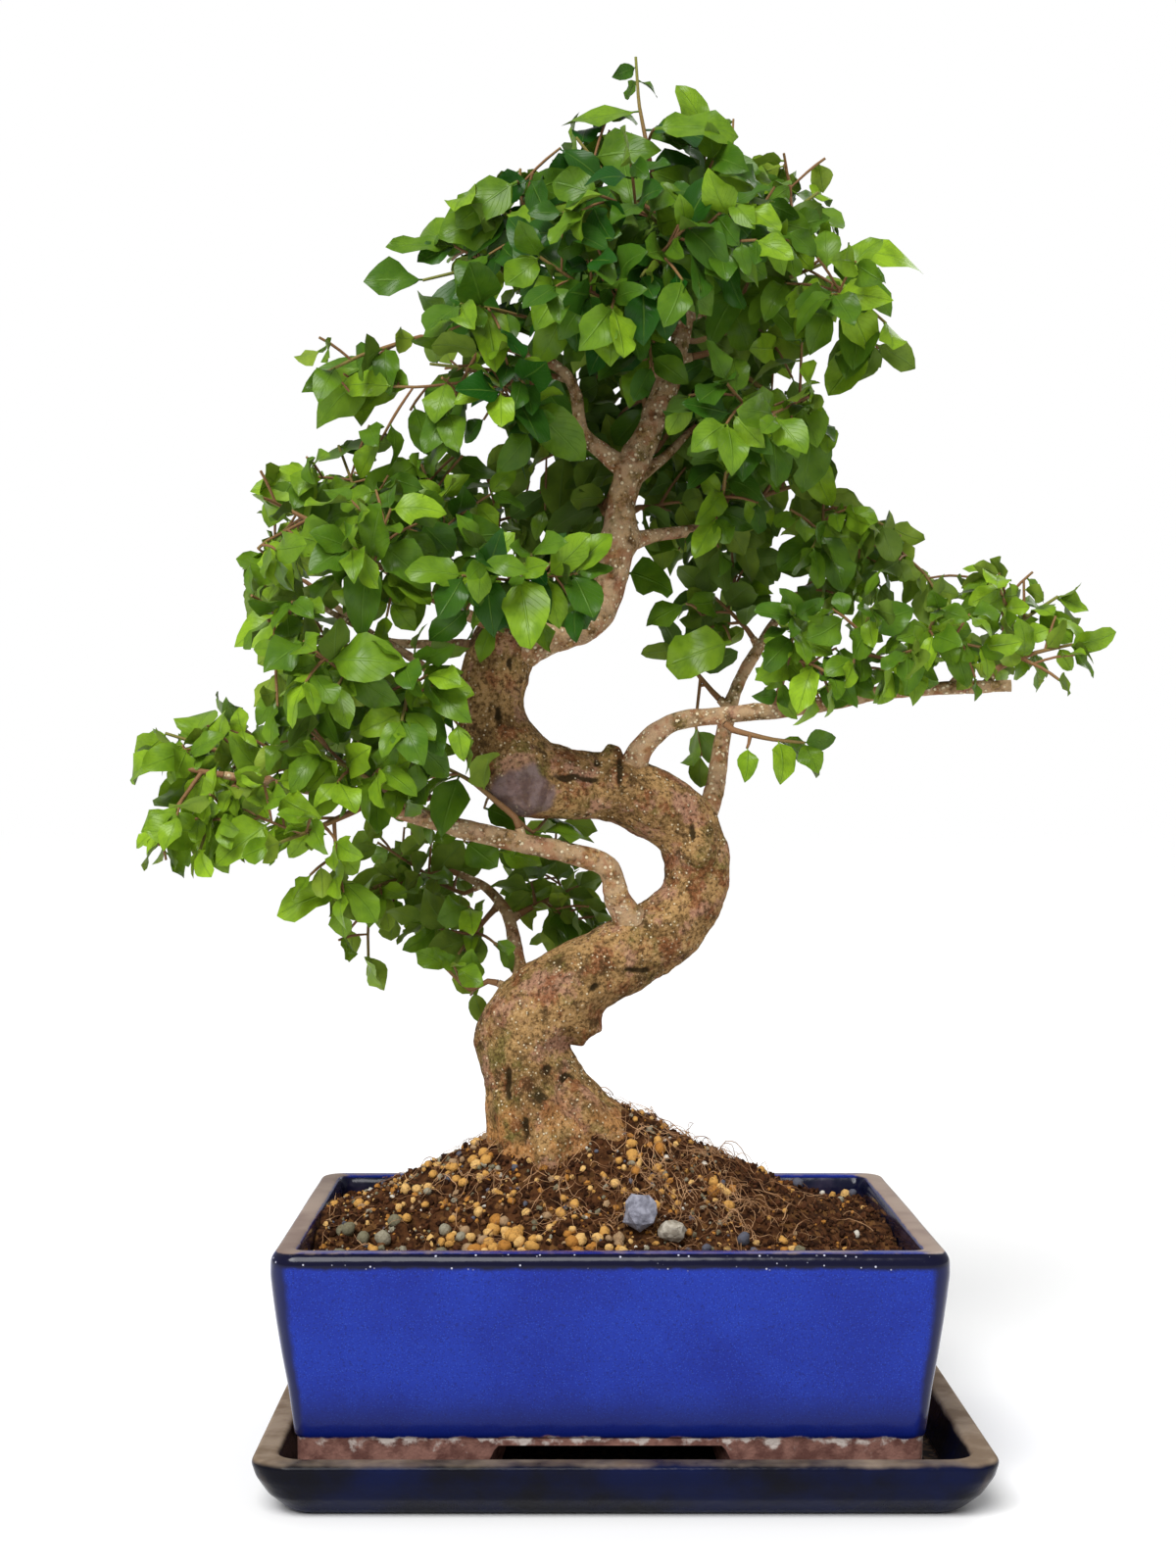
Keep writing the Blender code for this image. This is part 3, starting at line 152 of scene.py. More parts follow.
def layers(points, size, count, seed=0):
    """A sum of noise, each layer at half the size and half the height of the one before."""
    return sum(noise(points, size / 2 ** k, seed + k) / 2 ** k for k in range(count))


print("noise at the origin:", round(float(noise(np.zeros((1, 3)), 0.01)[0]), 3))

# %% [markdown]
# ## Shader nodes in short
#
# Every finish below is the same few steps: a pattern, a range that is cut out of it, a mix of two colours
# by that amount, and a bump. A small class keeps those steps to one line each. Patterns read Object
# coordinates, which are metres here, so a scale of 500 means details of about 2 mm.


# %% Finishes
class Finish:
    """A material with one Principled shader, and short ways to build its patterns."""

    def __init__(self, name, **settings):
        self.material = bpy.data.materials.new(name)
        self.material.use_nodes = True
        self.tree = self.material.node_tree
        self.shader = self.tree.nodes["Principled BSDF"]
        for socket, value in settings.items():
            self.shader.inputs[socket.replace("_", " ")].default_value = value
        self.place = self.node("ShaderNodeTexCoord").outputs["Object"]

    def node(self, kind, inputs=(), **settings):
        """A node with its settings, and its inputs, by name or number, linked or given a value."""
        made = self.tree.nodes.new(kind)
        for setting, value in settings.items():
            setattr(made, setting, value)
        for key, value in dict(inputs).items():
            if isinstance(value, bpy.types.NodeSocket):
                self.tree.links.new(value, made.inputs[key])
            else:
                made.inputs[key].default_value = value
        return made

    def cloud(self, scale, detail=4, rough=0.55):
        """Soft noise from 0 to 1, mostly near a half."""
        where = {"Vector": self.place, "Scale": scale, "Detail": detail, "Roughness": rough}
        return self.node("ShaderNodeTexNoise", where).outputs["Fac"]

    def cells(self, scale, output="Distance"):
        """Distance to the nearest of scattered points, or that point's random colour."""
        return self.node("ShaderNodeTexVoronoi", {"Vector": self.place, "Scale": scale}).outputs[output]

    def height(self):
        return self.node("ShaderNodeSeparateXYZ", {0: self.place}).outputs["Z"]

    def attribute(self, name):
        return self.node("ShaderNodeAttribute", attribute_name=name).outputs["Fac"]

    def span(self, value, low, high):
        """0 below low, 1 above high, and a smooth step between; low may be the greater."""
        inputs = {"Value": value, "From Min": low, "From Max": high}
        return self.node("ShaderNodeMapRange", inputs, interpolation_type="SMOOTHSTEP").outputs[0]

    def patches(self, scale, low, high, detail=4, rough=0.55):
        """Soft patches where the noise is high."""
        return self.span(self.cloud(scale, detail, rough), low, high)

    def dots(self, scale, outside, inside):
        """Round dots: 1 within the inner distance from a scattered point and 0 beyond the outer one."""
        return self.span(self.cells(scale), outside, inside)

    def chosen(self, scale, low, high):
        """Those of the cells round the points whose random number is high."""
        return self.span(self.cells(scale, "Color"), low, high)

    def math(self, operation, *values):
        return self.node("ShaderNodeMath", dict(enumerate(values)), operation=operation).outputs[0]

    def sum(self, first, second):
        return self.math("ADD", first, second)

    def times(self, first, second):
        return self.math("MULTIPLY", first, second)

    def mix(self, amount, first, second):
        """The first colour where the amount is 0 and the second where it is 1."""
        inputs = {"Factor": amount}
        for key, colour in ((6, first), (7, second)):
            inputs[key] = colour if isinstance(colour, bpy.types.NodeSocket) else (*colour, 1.0)
        return self.node("ShaderNodeMix", inputs, data_type="RGBA").outputs[2]

    def tint(self, base, amount, strength, colour):
        """The base with another colour over it, by the amount times a strength."""
        return self.mix(self.times(amount, strength), base, colour)

    def ramp(self, value, *stops):
        """Bands of flat colour: each stop is where its colour starts."""
        made = self.node("ShaderNodeValToRGB", {"Fac": value})
        made.color_ramp.interpolation = "CONSTANT"
        while len(made.color_ramp.elements) < len(stops):
            made.color_ramp.elements.new(1.0)
        for element, (start, colour) in zip(made.color_ramp.elements, stops):
            element.position = start
            element.color = (*colour, 1.0)
        return made.outputs["Color"]

    def paint(self, colour):
        self.tree.links.new(colour, self.shader.inputs["Base Color"])

    def gloss(self, amount, smooth, rough):
        """Roughness that goes from smooth to rough with the amount."""
        inputs = {"Value": amount, "To Min": smooth, "To Max": rough}
        made = self.node("ShaderNodeMapRange", inputs)
        self.tree.links.new(made.outputs[0], self.shader.inputs["Roughness"])

    def bump(self, height, depth, before=None):
        """A relief of a depth in metres, on top of an earlier one."""
        inputs = {"Height": height, "Distance": depth, "Strength": 1.0}
        if before is not None:
            inputs["Normal"] = before
        normal = self.node("ShaderNodeBump", inputs).outputs["Normal"]
        self.tree.links.new(normal, self.shader.inputs["Normal"])
        return normal


print("finish helper ready")

# %% [markdown]
# ## Floor and light
#
# The photograph shows plain white behind the tree. A bright surround with no main light would make everything
# flat, so the surround is white for the camera and dimmer as a light. The rest comes from a very wide sun,
# high and a little to the left: it is soft, it keeps the undersides of the leaves dark, and it lights a floor
# that runs far back as evenly as the sky. Two large lamps only add some shine.

# %% Floor, surround and lamps
FLOOR_SIZE = 40.0
WHITE = (0.98, 0.98, 0.98)
SURROUND_SEEN, SURROUND_LIGHT = 1.0, 0.42
LIGHT_TARGET = Vector((0.0, 0.0, 0.25))
LAMPS = [
    ("key", "SUN", (-0.30, -1.00, 1.35), math.radians(34), 2.8),
    ("shine", "AREA", (-0.9, -1.4, 1.6), 0.7, 9),
    ("edge", "AREA", (0.9, 1.3, 1.3), 1.0, 6),
]

paper = Finish("paper", Base_Color=(*WHITE, 1.0), Roughness=0.9)
floor_mesh = bpy.data.meshes.new("floor")
half = FLOOR_SIZE / 2
floor_mesh.from_pydata([(-half, -half, 0), (half, -half, 0), (half, half, 0), (-half, half, 0)], [],
                       [(0, 1, 2, 3)])
floor_mesh.materials.append(paper.material)
floor = bpy.data.objects.new("floor", floor_mesh)
bpy.context.scene.collection.objects.link(floor)

world = bpy.data.worlds.new("surround")
world.use_nodes = True
sky = world.node_tree
light = sky.nodes["Background"]
light.inputs["Strength"].default_value = SURROUND_LIGHT
seen = sky.nodes.new("ShaderNodeBackground")
seen.inputs["Strength"].default_value = SURROUND_SEEN
choice = sky.nodes.new("ShaderNodeMixShader")
sky.links.new(sky.nodes.new("ShaderNodeLightPath").outputs["Is Camera Ray"], choice.inputs[0])
for number, background in enumerate((light, seen), start=1):
    background.inputs["Color"].default_value = (1.0, 1.0, 1.0, 1.0)
    sky.links.new(background.outputs[0], choice.inputs[number])
sky.links.new(choice.outputs[0], sky.nodes["World Output"].inputs["Surface"])
bpy.context.scene.world = world
bpy.context.scene.view_settings.view_transform = "Standard"

for title, kind, place, size, power in LAMPS:
    lamp_data = bpy.data.lights.new(title, kind)
    if kind == "SUN":
        lamp_data.angle = size
    else:
        lamp_data.shape = "DISK"
        lamp_data.size = size
    lamp_data.energy = power
    lamp = bpy.data.objects.new(title, lamp_data)
    lamp.location = place
    lamp.rotation_euler = (Vector(place) - LIGHT_TARGET).to_track_quat("Z", "Y").to_euler()
    bpy.context.scene.collection.objects.link(lamp)
print("lamps:", len(LAMPS))

# %% [markdown]
# ## Glazed dishes
#
# Pot and tray are both a wall carried round a rectangle with round corners. The wall is a short list of
# heights and insets, whose corners are softened because no glaze has a sharp edge. The outline keeps its
# corner radius apart from its straight sides, so one table of directions serves every height.


# %% Outline and wall
def outline_table(long_steps, short_steps, corner_steps=10):
    """Where each point of the outline lies between the corner centres, and the way it faces there."""
    bases, ways = [], []
    for quarter, (x, y) in enumerate(((1, 1), (-1, 1), (-1, -1), (1, -1))):
        angles = np.radians(np.linspace(0, 90, corner_steps)) + quarter * math.pi / 2
        bases.append(np.tile([x, y], (corner_steps, 1)))
        ways.append(np.stack([np.cos(angles), np.sin(angles)], axis=1))
        steps = long_steps if quarter % 2 == 0 else short_steps
        share = np.linspace(1, -1, steps, endpoint=False)[1:, None]
        side = np.array([[x, y]]) * (np.hstack([share, share * 0 + 1]) if quarter % 2 == 0
                                     else np.hstack([share * 0 + 1, share]))
        bases.append(side)
        ways.append(np.tile(ways[-1][-1], (len(side), 1)))
    return np.vstack(bases), np.vstack(ways)


def soften(profile, radius, steps=4):
    """A broken line with each corner replaced by a short curve that starts a radius before it."""
    profile = np.asarray(profile, float)
    done = [profile[:1]]
    share = np.linspace(0, 1, steps + 1)[:, None]
    for before, here, after in zip(profile, profile[1:], profile[2:]):
        back, on = before - here, after - here
        back *= min(radius / np.linalg.norm(back), 0.45)
        on *= min(radius / np.linalg.norm(on), 0.45)
        done.append(here + back * (1 - share) ** 2 + on * share ** 2)
    return np.vstack(done + [profile[-1:]])


def refine(profile, spacing):
    """The same line with further points, so that none are more than a spacing apart."""
    done = []
    for here, after in zip(profile, profile[1:]):
        steps = max(1, math.ceil(np.linalg.norm(after - here) / spacing))
        done.append(here + (after - here) * (np.arange(steps) / steps)[:, None])
    return np.vstack(done + [profile[-1:]])


def rings_of(profile, length, depth, corner, table):
    """A ring for each (height, inset): the corner centres, plus the corner's radius along each way."""
    bases, ways = table
    height, inset = profile.T[:, :, None]
    bend = np.maximum(corner - inset / 2, 0.004)
    x = (length / 2 - inset - bend) * bases[:, 0] + bend * ways[:, 0]
    y = (depth / 2 - inset - bend) * bases[:, 1] + bend * ways[:, 1]
    return np.stack([x, y, height + 0 * x], axis=-1)


# %% [markdown]
# ## The drip tray
#
# The tray is a shallow dish in a dark navy glaze. On its rim and its corners the glaze runs thin and lets the
# brown clay through, and some grit has been washed down into it. Its floor is painted dark, partly as that grit
# and partly as painted shade inside the dish.

# %% Tray
TRAY = (0.278, 0.210, 0.016)
TRAY_SHIFT = 0.0055
TRAY_FLOOR = 0.007
TRAY_WALL = [(0.0, 0.080), (0.0, 0.0150), (0.002, 0.0118), (0.008, 0.0056), (0.015, 0.0014), (0.020, 0.0),
             (0.022, 0.0014), (0.022, 0.0092), (0.0195, 0.0105), (TRAY_FLOOR, 0.0150), (TRAY_FLOOR, 0.080)]

tray_profile = refine(soften(TRAY_WALL, 0.0012), 0.004)
tray_table = outline_table(70, 50)
tray_points = rings_of(tray_profile, *TRAY, tray_table) + [TRAY_SHIFT, 0, 0]
tray_facing = np.abs(tray_table[1][:, 0])       # 1 on the short sides, 0 on the long ones
tray_edge = np.clip((tray_points[..., 2] - 0.0185) / 0.0035, 0, 1) * (0.60 + 0.40 * tray_facing)
tray_corner = np.abs(tray_table[1]).min(axis=1) * np.clip(tray_points[..., 2] / 0.010, 0, 1)
tray_thin = np.clip(np.maximum(tray_edge, 0.72 * tray_corner), 0, 1)
run = np.arange(len(tray_profile))
tray_floor = ((run > len(run) / 2) & (tray_profile[:, 0] < TRAY_FLOOR + 0.001))[:, None] + 0.0 * tray_corner

tray_glaze = Finish("navy_tray_glaze", Specular_IOR_Level=0.05)
uneven = tray_glaze.times(tray_glaze.sum(tray_glaze.cloud(45, 3), -0.5), 0.7)
worn = tray_glaze.span(tray_glaze.sum(tray_glaze.attribute("thin"), uneven), 0.38, 0.85)
navy = tray_glaze.mix(tray_glaze.patches(28, 0.35, 0.7), (0.006, 0.006, 0.009), (0.005, 0.008, 0.036))
clay = tray_glaze.mix(tray_glaze.patches(70, 0.35, 0.65, 3), (0.190, 0.135, 0.090), (0.300, 0.230, 0.165))
# Grit and painted shade: the tray's floor is painted near black.
silt_and_shade = tray_glaze.mix(tray_glaze.chosen(420, 0.5, 0.8), (0.010, 0.006, 0.005), (0.070, 0.040, 0.022))
silted = tray_glaze.attribute("floor")
tray_glaze.paint(tray_glaze.mix(silted, tray_glaze.mix(worn, navy, clay), silt_and_shade))
tray_glaze.gloss(tray_glaze.math("MAXIMUM", worn, silted), 0.16, 0.70)
tray_glaze.bump(tray_glaze.cloud(220, 3), 0.0002)
add_piece("tray_body", *closed_grid(tray_points), [tray_glaze.material], "tray_glaze", ["drip_tray"],
          thin=tray_thin, floor=tray_floor)

# %% [markdown]
# ## The pot
#
# The pot is the same kind of wall, but it stands on four feet. Instead of cutting the gaps between them out,
# the wall's lowest rows are raised there: the height of the lower edge is a function of the place along the
# side, low under the feet, high in the gap and sloping between.

# %% Pot shape
POT = (0.254, 0.188, 0.010)
POT_FOOT = 0.0073
POT_UNDERSIDE = 0.0235
POT_FLOOR = 0.032
POT_RIM = 0.097
GLAZE_EDGE = 0.0265
FOOT_WALL = 0.015
FOOT_INSET = 0.0098
LONG_GAP = (0.101, 0.083)
SHORT_GAP = (0.066, 0.050)
POT_WALL = [(GLAZE_EDGE, 0.0092), (0.0275, 0.0084), (0.045, 0.0062), (0.058, 0.0040), (0.070, 0.0022),
            (0.080, 0.0009), (0.088, 0.0), (0.094, 0.0001), (POT_RIM, 0.0020), (POT_RIM, 0.0090),
            (0.093, 0.0108), (0.060, 0.0130), (POT_FLOOR, 0.0165), (POT_FLOOR, 0.070)]

pot_table = outline_table(150, 104)


def gap_rise(place, widths):
    """0 where the foot stands and 1 in the gap, from the distance to the side's middle."""
    return np.clip((widths[0] / 2 - np.abs(place)) / (widths[0] / 2 - widths[1] / 2), 0, 1)


def lower_edge(points):
    """Height of the pot's lower edge, from the gap that each point's side has."""
    bases = pot_table[0]
    long_side = (np.abs(bases[:, 1]) == 1) * gap_rise(points[:, 0], LONG_GAP)
    short_side = (np.abs(bases[:, 0]) == 1) * gap_rise(points[:, 1], SHORT_GAP)
    rise = np.maximum(long_side, short_side)
    rise = rise * rise * (3 - 2 * rise)
    return POT_FOOT + (POT_UNDERSIDE - POT_FOOT) * rise


foot_profile = [(POT_UNDERSIDE, 0.070), (POT_UNDERSIDE, FOOT_INSET + FOOT_WALL)]
foot_profile += [(POT_FOOT + 0.0005, FOOT_INSET + FOOT_WALL), (POT_FOOT, FOOT_INSET + FOOT_WALL - 0.0007)]
foot_profile += [(POT_FOOT, FOOT_INSET + 0.0007), (POT_FOOT + 0.0007, FOOT_INSET)]
foot_profile += [(z, FOOT_INSET - 0.0004 * (z - POT_FOOT) / 0.019) for z in np.linspace(0.010, 0.0262, 6)]
pot_profile = np.vstack([foot_profile, refine(soften(POT_WALL, 0.0016), 0.0035)])
pot_points = rings_of(pot_profile, *POT, pot_table)
FOOT_ROWS = slice(2, len(foot_profile))
edge_height = lower_edge(pot_points[5])
squeeze = (GLAZE_EDGE - edge_height) / (GLAZE_EDGE - POT_FOOT)
pot_points[FOOT_ROWS, :, 2] = GLAZE_EDGE - (GLAZE_EDGE - pot_points[FOOT_ROWS, :, 2]) * squeeze
wall_rows = pot_profile[:, 1] < 0.0098
swell = noise(pot_points[wall_rows], 0.035, 4)[..., None] * 0.00025
pot_points[wall_rows, :, :2] *= 1 + swell / 0.1
print("lower edge from", round(edge_height.min() * 1000, 1), "to", round(edge_height.max() * 1000, 1), "mm")

# %% [markdown]
# The glaze is a deep cobalt blue with fine specks. It is painted darker low on the wall and on the upright
# corners as shade, and a near-black band of painted shade with a few painted glints runs just below the rim's
# outer edge. It breaks to brown over the rim, where it is thin, and the inside above the soil is painted dark
# as shade. Below the glaze the clay is bare, reddish brown and furred with white lime from years of watering.

# %% Pot glaze and bare foot
run = np.concatenate([[0], np.cumsum(np.linalg.norm(np.diff(pot_profile, axis=0), axis=1))])
on_rim = (pot_profile[:, 0] > 0.0955) & (pot_profile[:, 1] > 0.001) & (pot_profile[:, 1] < 0.0105)
rim_start, rim_end = run[on_rim].min(), run[on_rim].max()
beyond = np.clip((rim_start - run) / 0.0050, -1, 1)[:, None]        # 0 at the rim's outer edge, 1 below it
band = np.clip(np.minimum(run - rim_start, rim_end - run) / 0.0020, -1, 1)[:, None]
facing_side = np.abs(pot_table[1][:, 0])        # 1 on the short sides, 0 on the long ones
corner_share = np.abs(pot_table[1]).min(axis=1) ** 1.2
pot_rim = np.clip(band * (0.44 + 0.56 * facing_side), 0, 1)
rim_shade_band = np.where(beyond > -0.3, np.clip((1 - beyond) / 0.4, 0, 1), 0) * (1 - 0.4 * facing_side)
pot_corner_shade = corner_share + 0 * band
pot_inner = np.clip((run[:, None] - rim_end + 0.0012) / 0.001, 0, 1) + 0 * corner_share

pot_glaze = Finish("cobalt_glaze", Specular_IOR_Level=0.2)
level = pot_glaze.height()
ragged = pot_glaze.sum(level, pot_glaze.times(pot_glaze.cloud(110), 0.0045))
bare = pot_glaze.span(ragged, GLAZE_EDGE + 0.0030, GLAZE_EDGE + 0.0018)
# Painted shade: the glaze is painted darker towards the bottom of the wall.
low_wall_shade = pot_glaze.span(ragged, 0.052, 0.029)
specks, pits = pot_glaze.dots(1100, 0.34, 0.10), pot_glaze.patches(1400, 0.54, 0.64, 3)
blue = pot_glaze.mix(pot_glaze.patches(24, 0.3, 0.7, 3), (0.005, 0.017, 0.225), (0.007, 0.027, 0.290))
blue = pot_glaze.tint(blue, specks, 0.50, (0.032, 0.085, 0.470))
blue = pot_glaze.tint(blue, pits, 0.55, (0.004, 0.008, 0.100))
blue = pot_glaze.tint(blue, low_wall_shade, 0.85, (0.003, 0.007, 0.075))
uneven = pot_glaze.times(pot_glaze.sum(pot_glaze.cloud(120), -0.5), 0.7)
# Painted shade: the upright corners are painted dark navy.
edge = pot_glaze.sum(pot_glaze.attribute("corner"), pot_glaze.times(uneven, 0.5))
blue = pot_glaze.mix(pot_glaze.span(edge, 0.10, 0.45), blue, (0.006, 0.009, 0.060))
# Painted shade: a near-black band just below the rim's outer edge.
line = pot_glaze.span(pot_glaze.sum(pot_glaze.attribute("line"), uneven), 0.25, 0.75)
blue = pot_glaze.mix(line, blue, (0.004, 0.004, 0.018))
# Painted highlights: a few pale glints on that band.
painted_glints = pot_glaze.times(pot_glaze.dots(500, 0.24, 0.14), pot_glaze.chosen(500, 0.66, 0.70))
blue = pot_glaze.tint(blue, painted_glints, line, (0.500, 0.500, 0.600))
rim = pot_glaze.span(pot_glaze.sum(pot_glaze.attribute("rim"), uneven), 0.30, 0.75)
mauve = pot_glaze.mix(pot_glaze.patches(30, 0.35, 0.65, 3), (0.225, 0.155, 0.128), (0.340, 0.255, 0.205))
blue = pot_glaze.mix(rim, blue, mauve)
# Painted shade: the inner wall above the soil is painted near black.
inside = pot_glaze.mix(pot_glaze.patches(80, 0.4, 0.7), (0.005, 0.006, 0.022), (0.030, 0.024, 0.050))
blue = pot_glaze.mix(pot_glaze.attribute("inner"), blue, inside)
biscuit = pot_glaze.mix(pot_glaze.patches(130, 0.38, 0.62), (0.115, 0.048, 0.038), (0.240, 0.118, 0.092))
lime_edge = pot_glaze.span(level, GLAZE_EDGE - 0.0045, GLAZE_EDGE + 0.0005)
lime = pot_glaze.span(pot_glaze.sum(pot_glaze.cloud(170, 6), pot_glaze.times(lime_edge, 0.17)), 0.62, 0.76)
biscuit = pot_glaze.mix(lime, biscuit, (0.520, 0.450, 0.410))
pot_glaze.paint(pot_glaze.mix(bare, blue, biscuit))
pot_glaze.gloss(pot_glaze.math("MAXIMUM", bare, pot_glaze.times(rim, 0.45)), 0.14, 0.80)
ripple = pot_glaze.bump(pot_glaze.cloud(90, 2), 0.00020)
pot_glaze.bump(pot_glaze.times(pot_glaze.cloud(900, 2), bare), 0.0003, ripple)
add_piece("pot_body", *closed_grid(pot_points), [pot_glaze.material], "pot_glaze", ["pot"],
          rim=pot_rim, line=rim_shade_band, corner=pot_corner_shade, inner=pot_inner)

# %% [markdown]
# ## Soil
#
# The soil is a mound of fired clay grains, bark and grit, and the root flare stands in its middle. The mound
# itself is one closed surface. Its rings shrink from the pot's wall to the edge of the flare, and their
# height comes from a rounded cone with lumps on it.

# %% Mound
SOIL_EDGE = 0.0885
MOUND_RISE = 0.060
MOUND_SPREAD = np.array([0.135, 0.083])
MOUND_CENTRE = np.array([-0.008, 0.0])
MOUND_POWER = 1.3
LUMP_WAVES = (310, 270, 520, -410)      # radians per metre along X and Y, straight and then slanted
FLARE = np.array([(0.100, -0.0175, 0.0270), (0.116, -0.0175, 0.0305), (0.127, -0.0180, 0.0300),
                  (0.138, -0.0218, 0.0272), (0.151, -0.0292, 0.0198)])      # height, centre X, radius
FLARE_LOBES = ((3, 0.085, 0.6), (5, 0.065, 2.1), (8, 0.02, 0.4))
HOLE_RADIUS, BARE_RADIUS = 0.0240, 0.0275


def lobes(angles):
    """How much further out the flare reaches each way, as a share: three waves round it."""
    return sum(size * np.cos(count * angles + turn) for count, size, turn in FLARE_LOBES)


def soil_height(x, y):
    """A rounded cone over the pot with waves on it, and finer noise where grains have settled."""
    off = (np.stack([x, y], axis=-1) - MOUND_CENTRE) / MOUND_SPREAD
    cone = np.maximum(0, 1 - np.hypot(off[..., 0], off[..., 1])) ** MOUND_POWER
    along_x, along_y, slant_x, slant_y = LUMP_WAVES
    waves = np.sin(along_x * x + 2) * np.sin(along_y * y + 1) + 0.6 * np.sin(slant_x * x + slant_y * y)
    grit = layers(np.stack([x, y, 0 * x], axis=-1), 0.009, 3, 11)
    return SOIL_EDGE + MOUND_RISE * cone + 0.0016 * waves * (1 - 0.7 * cone) + 0.0009 * grit


soil_table = outline_table(70, 50, 6)
soil_edge = rings_of(np.array([[SOIL_EDGE, 0.0115]]), *POT, soil_table)[0]
toward = np.arctan2(soil_edge[:, 1], soil_edge[:, 0] - FLARE[1, 1])
hole_reach = HOLE_RADIUS * (1 + lobes(toward))
hole = np.stack([FLARE[3, 1] + np.cos(toward) * hole_reach, np.sin(toward) * hole_reach, 0 * toward], axis=-1)
shares = np.linspace(0, 1, 56)[:, None, None]
soil_top = soil_edge + (hole - soil_edge) * shares
soil_top[..., 2] = soil_height(soil_top[..., 0], soil_top[..., 1])
soil_wall = rings_of(np.array([[0.0324, 0.0172], [0.060, 0.0136]]), *POT, soil_table)
hole_foot = hole * [1, 1, 0] + [0, 0, 0.105]
soil_points = np.concatenate([soil_wall, soil_top, hole_foot[None]])

earth = Finish("moist_grit", Roughness=0.95, Specular_IOR_Level=0.06)
damp = earth.mix(earth.patches(260, 0.35, 0.65, 5), (0.016, 0.006, 0.003), (0.085, 0.034, 0.013))
earth.paint(earth.tint(damp, earth.chosen(420, 0.70, 0.86), 0.7, (0.170, 0.080, 0.026)))
earth.bump(earth.cloud(700), 0.0012)
add_piece("soil_mound", *closed_grid(soil_points), [earth.material], "soil", ["soil"], crease=80)

# %% [markdown]
# The grains that lie loose are one small rough shape with twenty faces, repeated with other sizes, turns and
# shades. numpy makes them all at once: an array of shapes by corners by coordinates. Each grain carries a
# number, and the material picks its kind by that number: damp bark, earth, yellow fired clay, grey grit or
# pumice. Most lie at random. The rounder balls of yellow clay also lie in heaps, and so do some grey stones.


# %% Grains
def base_grain(detail):
    """Corners and faces of a ball of twenty faces, or of eighty with detail 2."""
    work = bmesh.new()
    bmesh.ops.create_icosphere(work, subdivisions=detail, radius=1.0)
    corners = np.array([tuple(v.co) for v in work.verts])
    faces = np.array([[v.index for v in f.verts] for f in work.faces])
    work.free()
    return corners, faces


def many_grains(places, sizes, shades, draw, detail=1, rough=0.2):
    """Copies of the ball, each with its own corners pulled in or out, stretched, turned and moved."""
    corners, faces = base_grain(detail)
    shape = corners * draw.uniform(0.92 - rough, 0.92 + rough, (len(places), len(corners), 1))
    stretch = draw.uniform(0.875 - 1.4 * rough, 0.875 + 1.4 * rough, (len(places), 1, 3))
    shape = shape * stretch * sizes[:, None, None]
    turn, _ = np.linalg.qr(draw.normal(size=(len(places), 3, 3)))
    turn[:, :, 0] *= np.sign(np.linalg.det(turn))[:, None]
    shape = np.einsum("gci,gij->gcj", shape, turn) + places[:, None, :]
    numbers = faces + len(corners) * np.arange(len(places))[:, None, None]
    return shape.reshape(-1, 3), [numbers.reshape(-1, 3)], np.repeat(shades, len(corners))


def clear_of_flare(flat):
    """Which of some places over the pot lie outside the root flare."""
    off = flat - [FLARE[3, 1], 0]
    return np.hypot(*off.T) > BARE_RADIUS * (1 + lobes(np.arctan2(off[:, 1], off[:, 0])))


def on_soil(flat, sizes, sink):
    """The same places with their height on the mound, and the grains sunk by a share of their size."""
    return np.column_stack([flat, soil_height(*flat.T) + sizes * sink])


# Grains: name, count, least and greatest radius, share of the radius that stands out
LOOSE_GRAINS = [("coarse_grains", 3000, 0.0009, 0.0018, 0.35), ("fine_grains", 5200, 0.0005, 0.0009, 0.45)]
DARK_FROM, DARK_KINDS = 0.048, 0.64      # to the right of this X the loose grains are mostly dark
# Heaps of larger grains: centre X and Y, how far they spread, count, least and greatest radius, kinds
HEAPS = [
    ((-0.046, -0.062), (0.010, 0.007), 24, 0.0016, 0.0033, 0.66, 0.84),
    ((-0.032, -0.067), (0.010, 0.006), 24, 0.0016, 0.0034, 0.66, 0.84),
    ((-0.006, -0.069), (0.009, 0.004), 16, 0.0016, 0.0032, 0.66, 0.84),
    ((-0.062, -0.020), (0.020, 0.010), 30, 0.0014, 0.0030, 0.66, 0.84),
    ((-0.045, 0.002), (0.016, 0.010), 20, 0.0013, 0.0026, 0.66, 0.84),
    ((-0.030, -0.040), (0.030, 0.014), 26, 0.0012, 0.0027, 0.66, 0.84),
    ((0.020, -0.030), (0.014, 0.007), 24, 0.0014, 0.0031, 0.66, 0.84),
    ((-0.098, -0.064), (0.010, 0.007), 12, 0.0012, 0.0024, 0.66, 0.84),
    ((0.100, -0.067), (0.006, 0.004), 9, 0.0014, 0.0026, 0.62, 0.74),
    ((0.060, -0.060), (0.024, 0.012), 14, 0.0011, 0.0022, 0.62, 0.80),
    ((0.060, 0.040), (0.040, 0.030), 40, 0.0012, 0.0025, 0.66, 0.84),
    ((-0.070, 0.045), (0.030, 0.025), 40, 0.0012, 0.0025, 0.66, 0.84),
    ((-0.097, -0.050), (0.009, 0.010), 6, 0.0026, 0.0045, 0.90, 0.96),
    ((-0.060, -0.064), (0.006, 0.006), 5, 0.0018, 0.0034, 0.88, 0.96),
    ((-0.055, -0.026), (0.010, 0.006), 4, 0.0014, 0.0024, 0.90, 0.96),
    ((0.084, -0.066), (0.008, 0.005), 4, 0.0020, 0.0034, 0.88, 0.96),
    ((0.055, -0.062), (0.006, 0.005), 3, 0.0020, 0.0034, 0.85, 0.88),
    ((0.075, -0.015), (0.022, 0.030), 8, 0.0012, 0.0026, 0.85, 1.0),
    ((0.0, 0.070), (0.080, 0.008), 20, 0.0012, 0.0028, 0.66, 1.0),
]

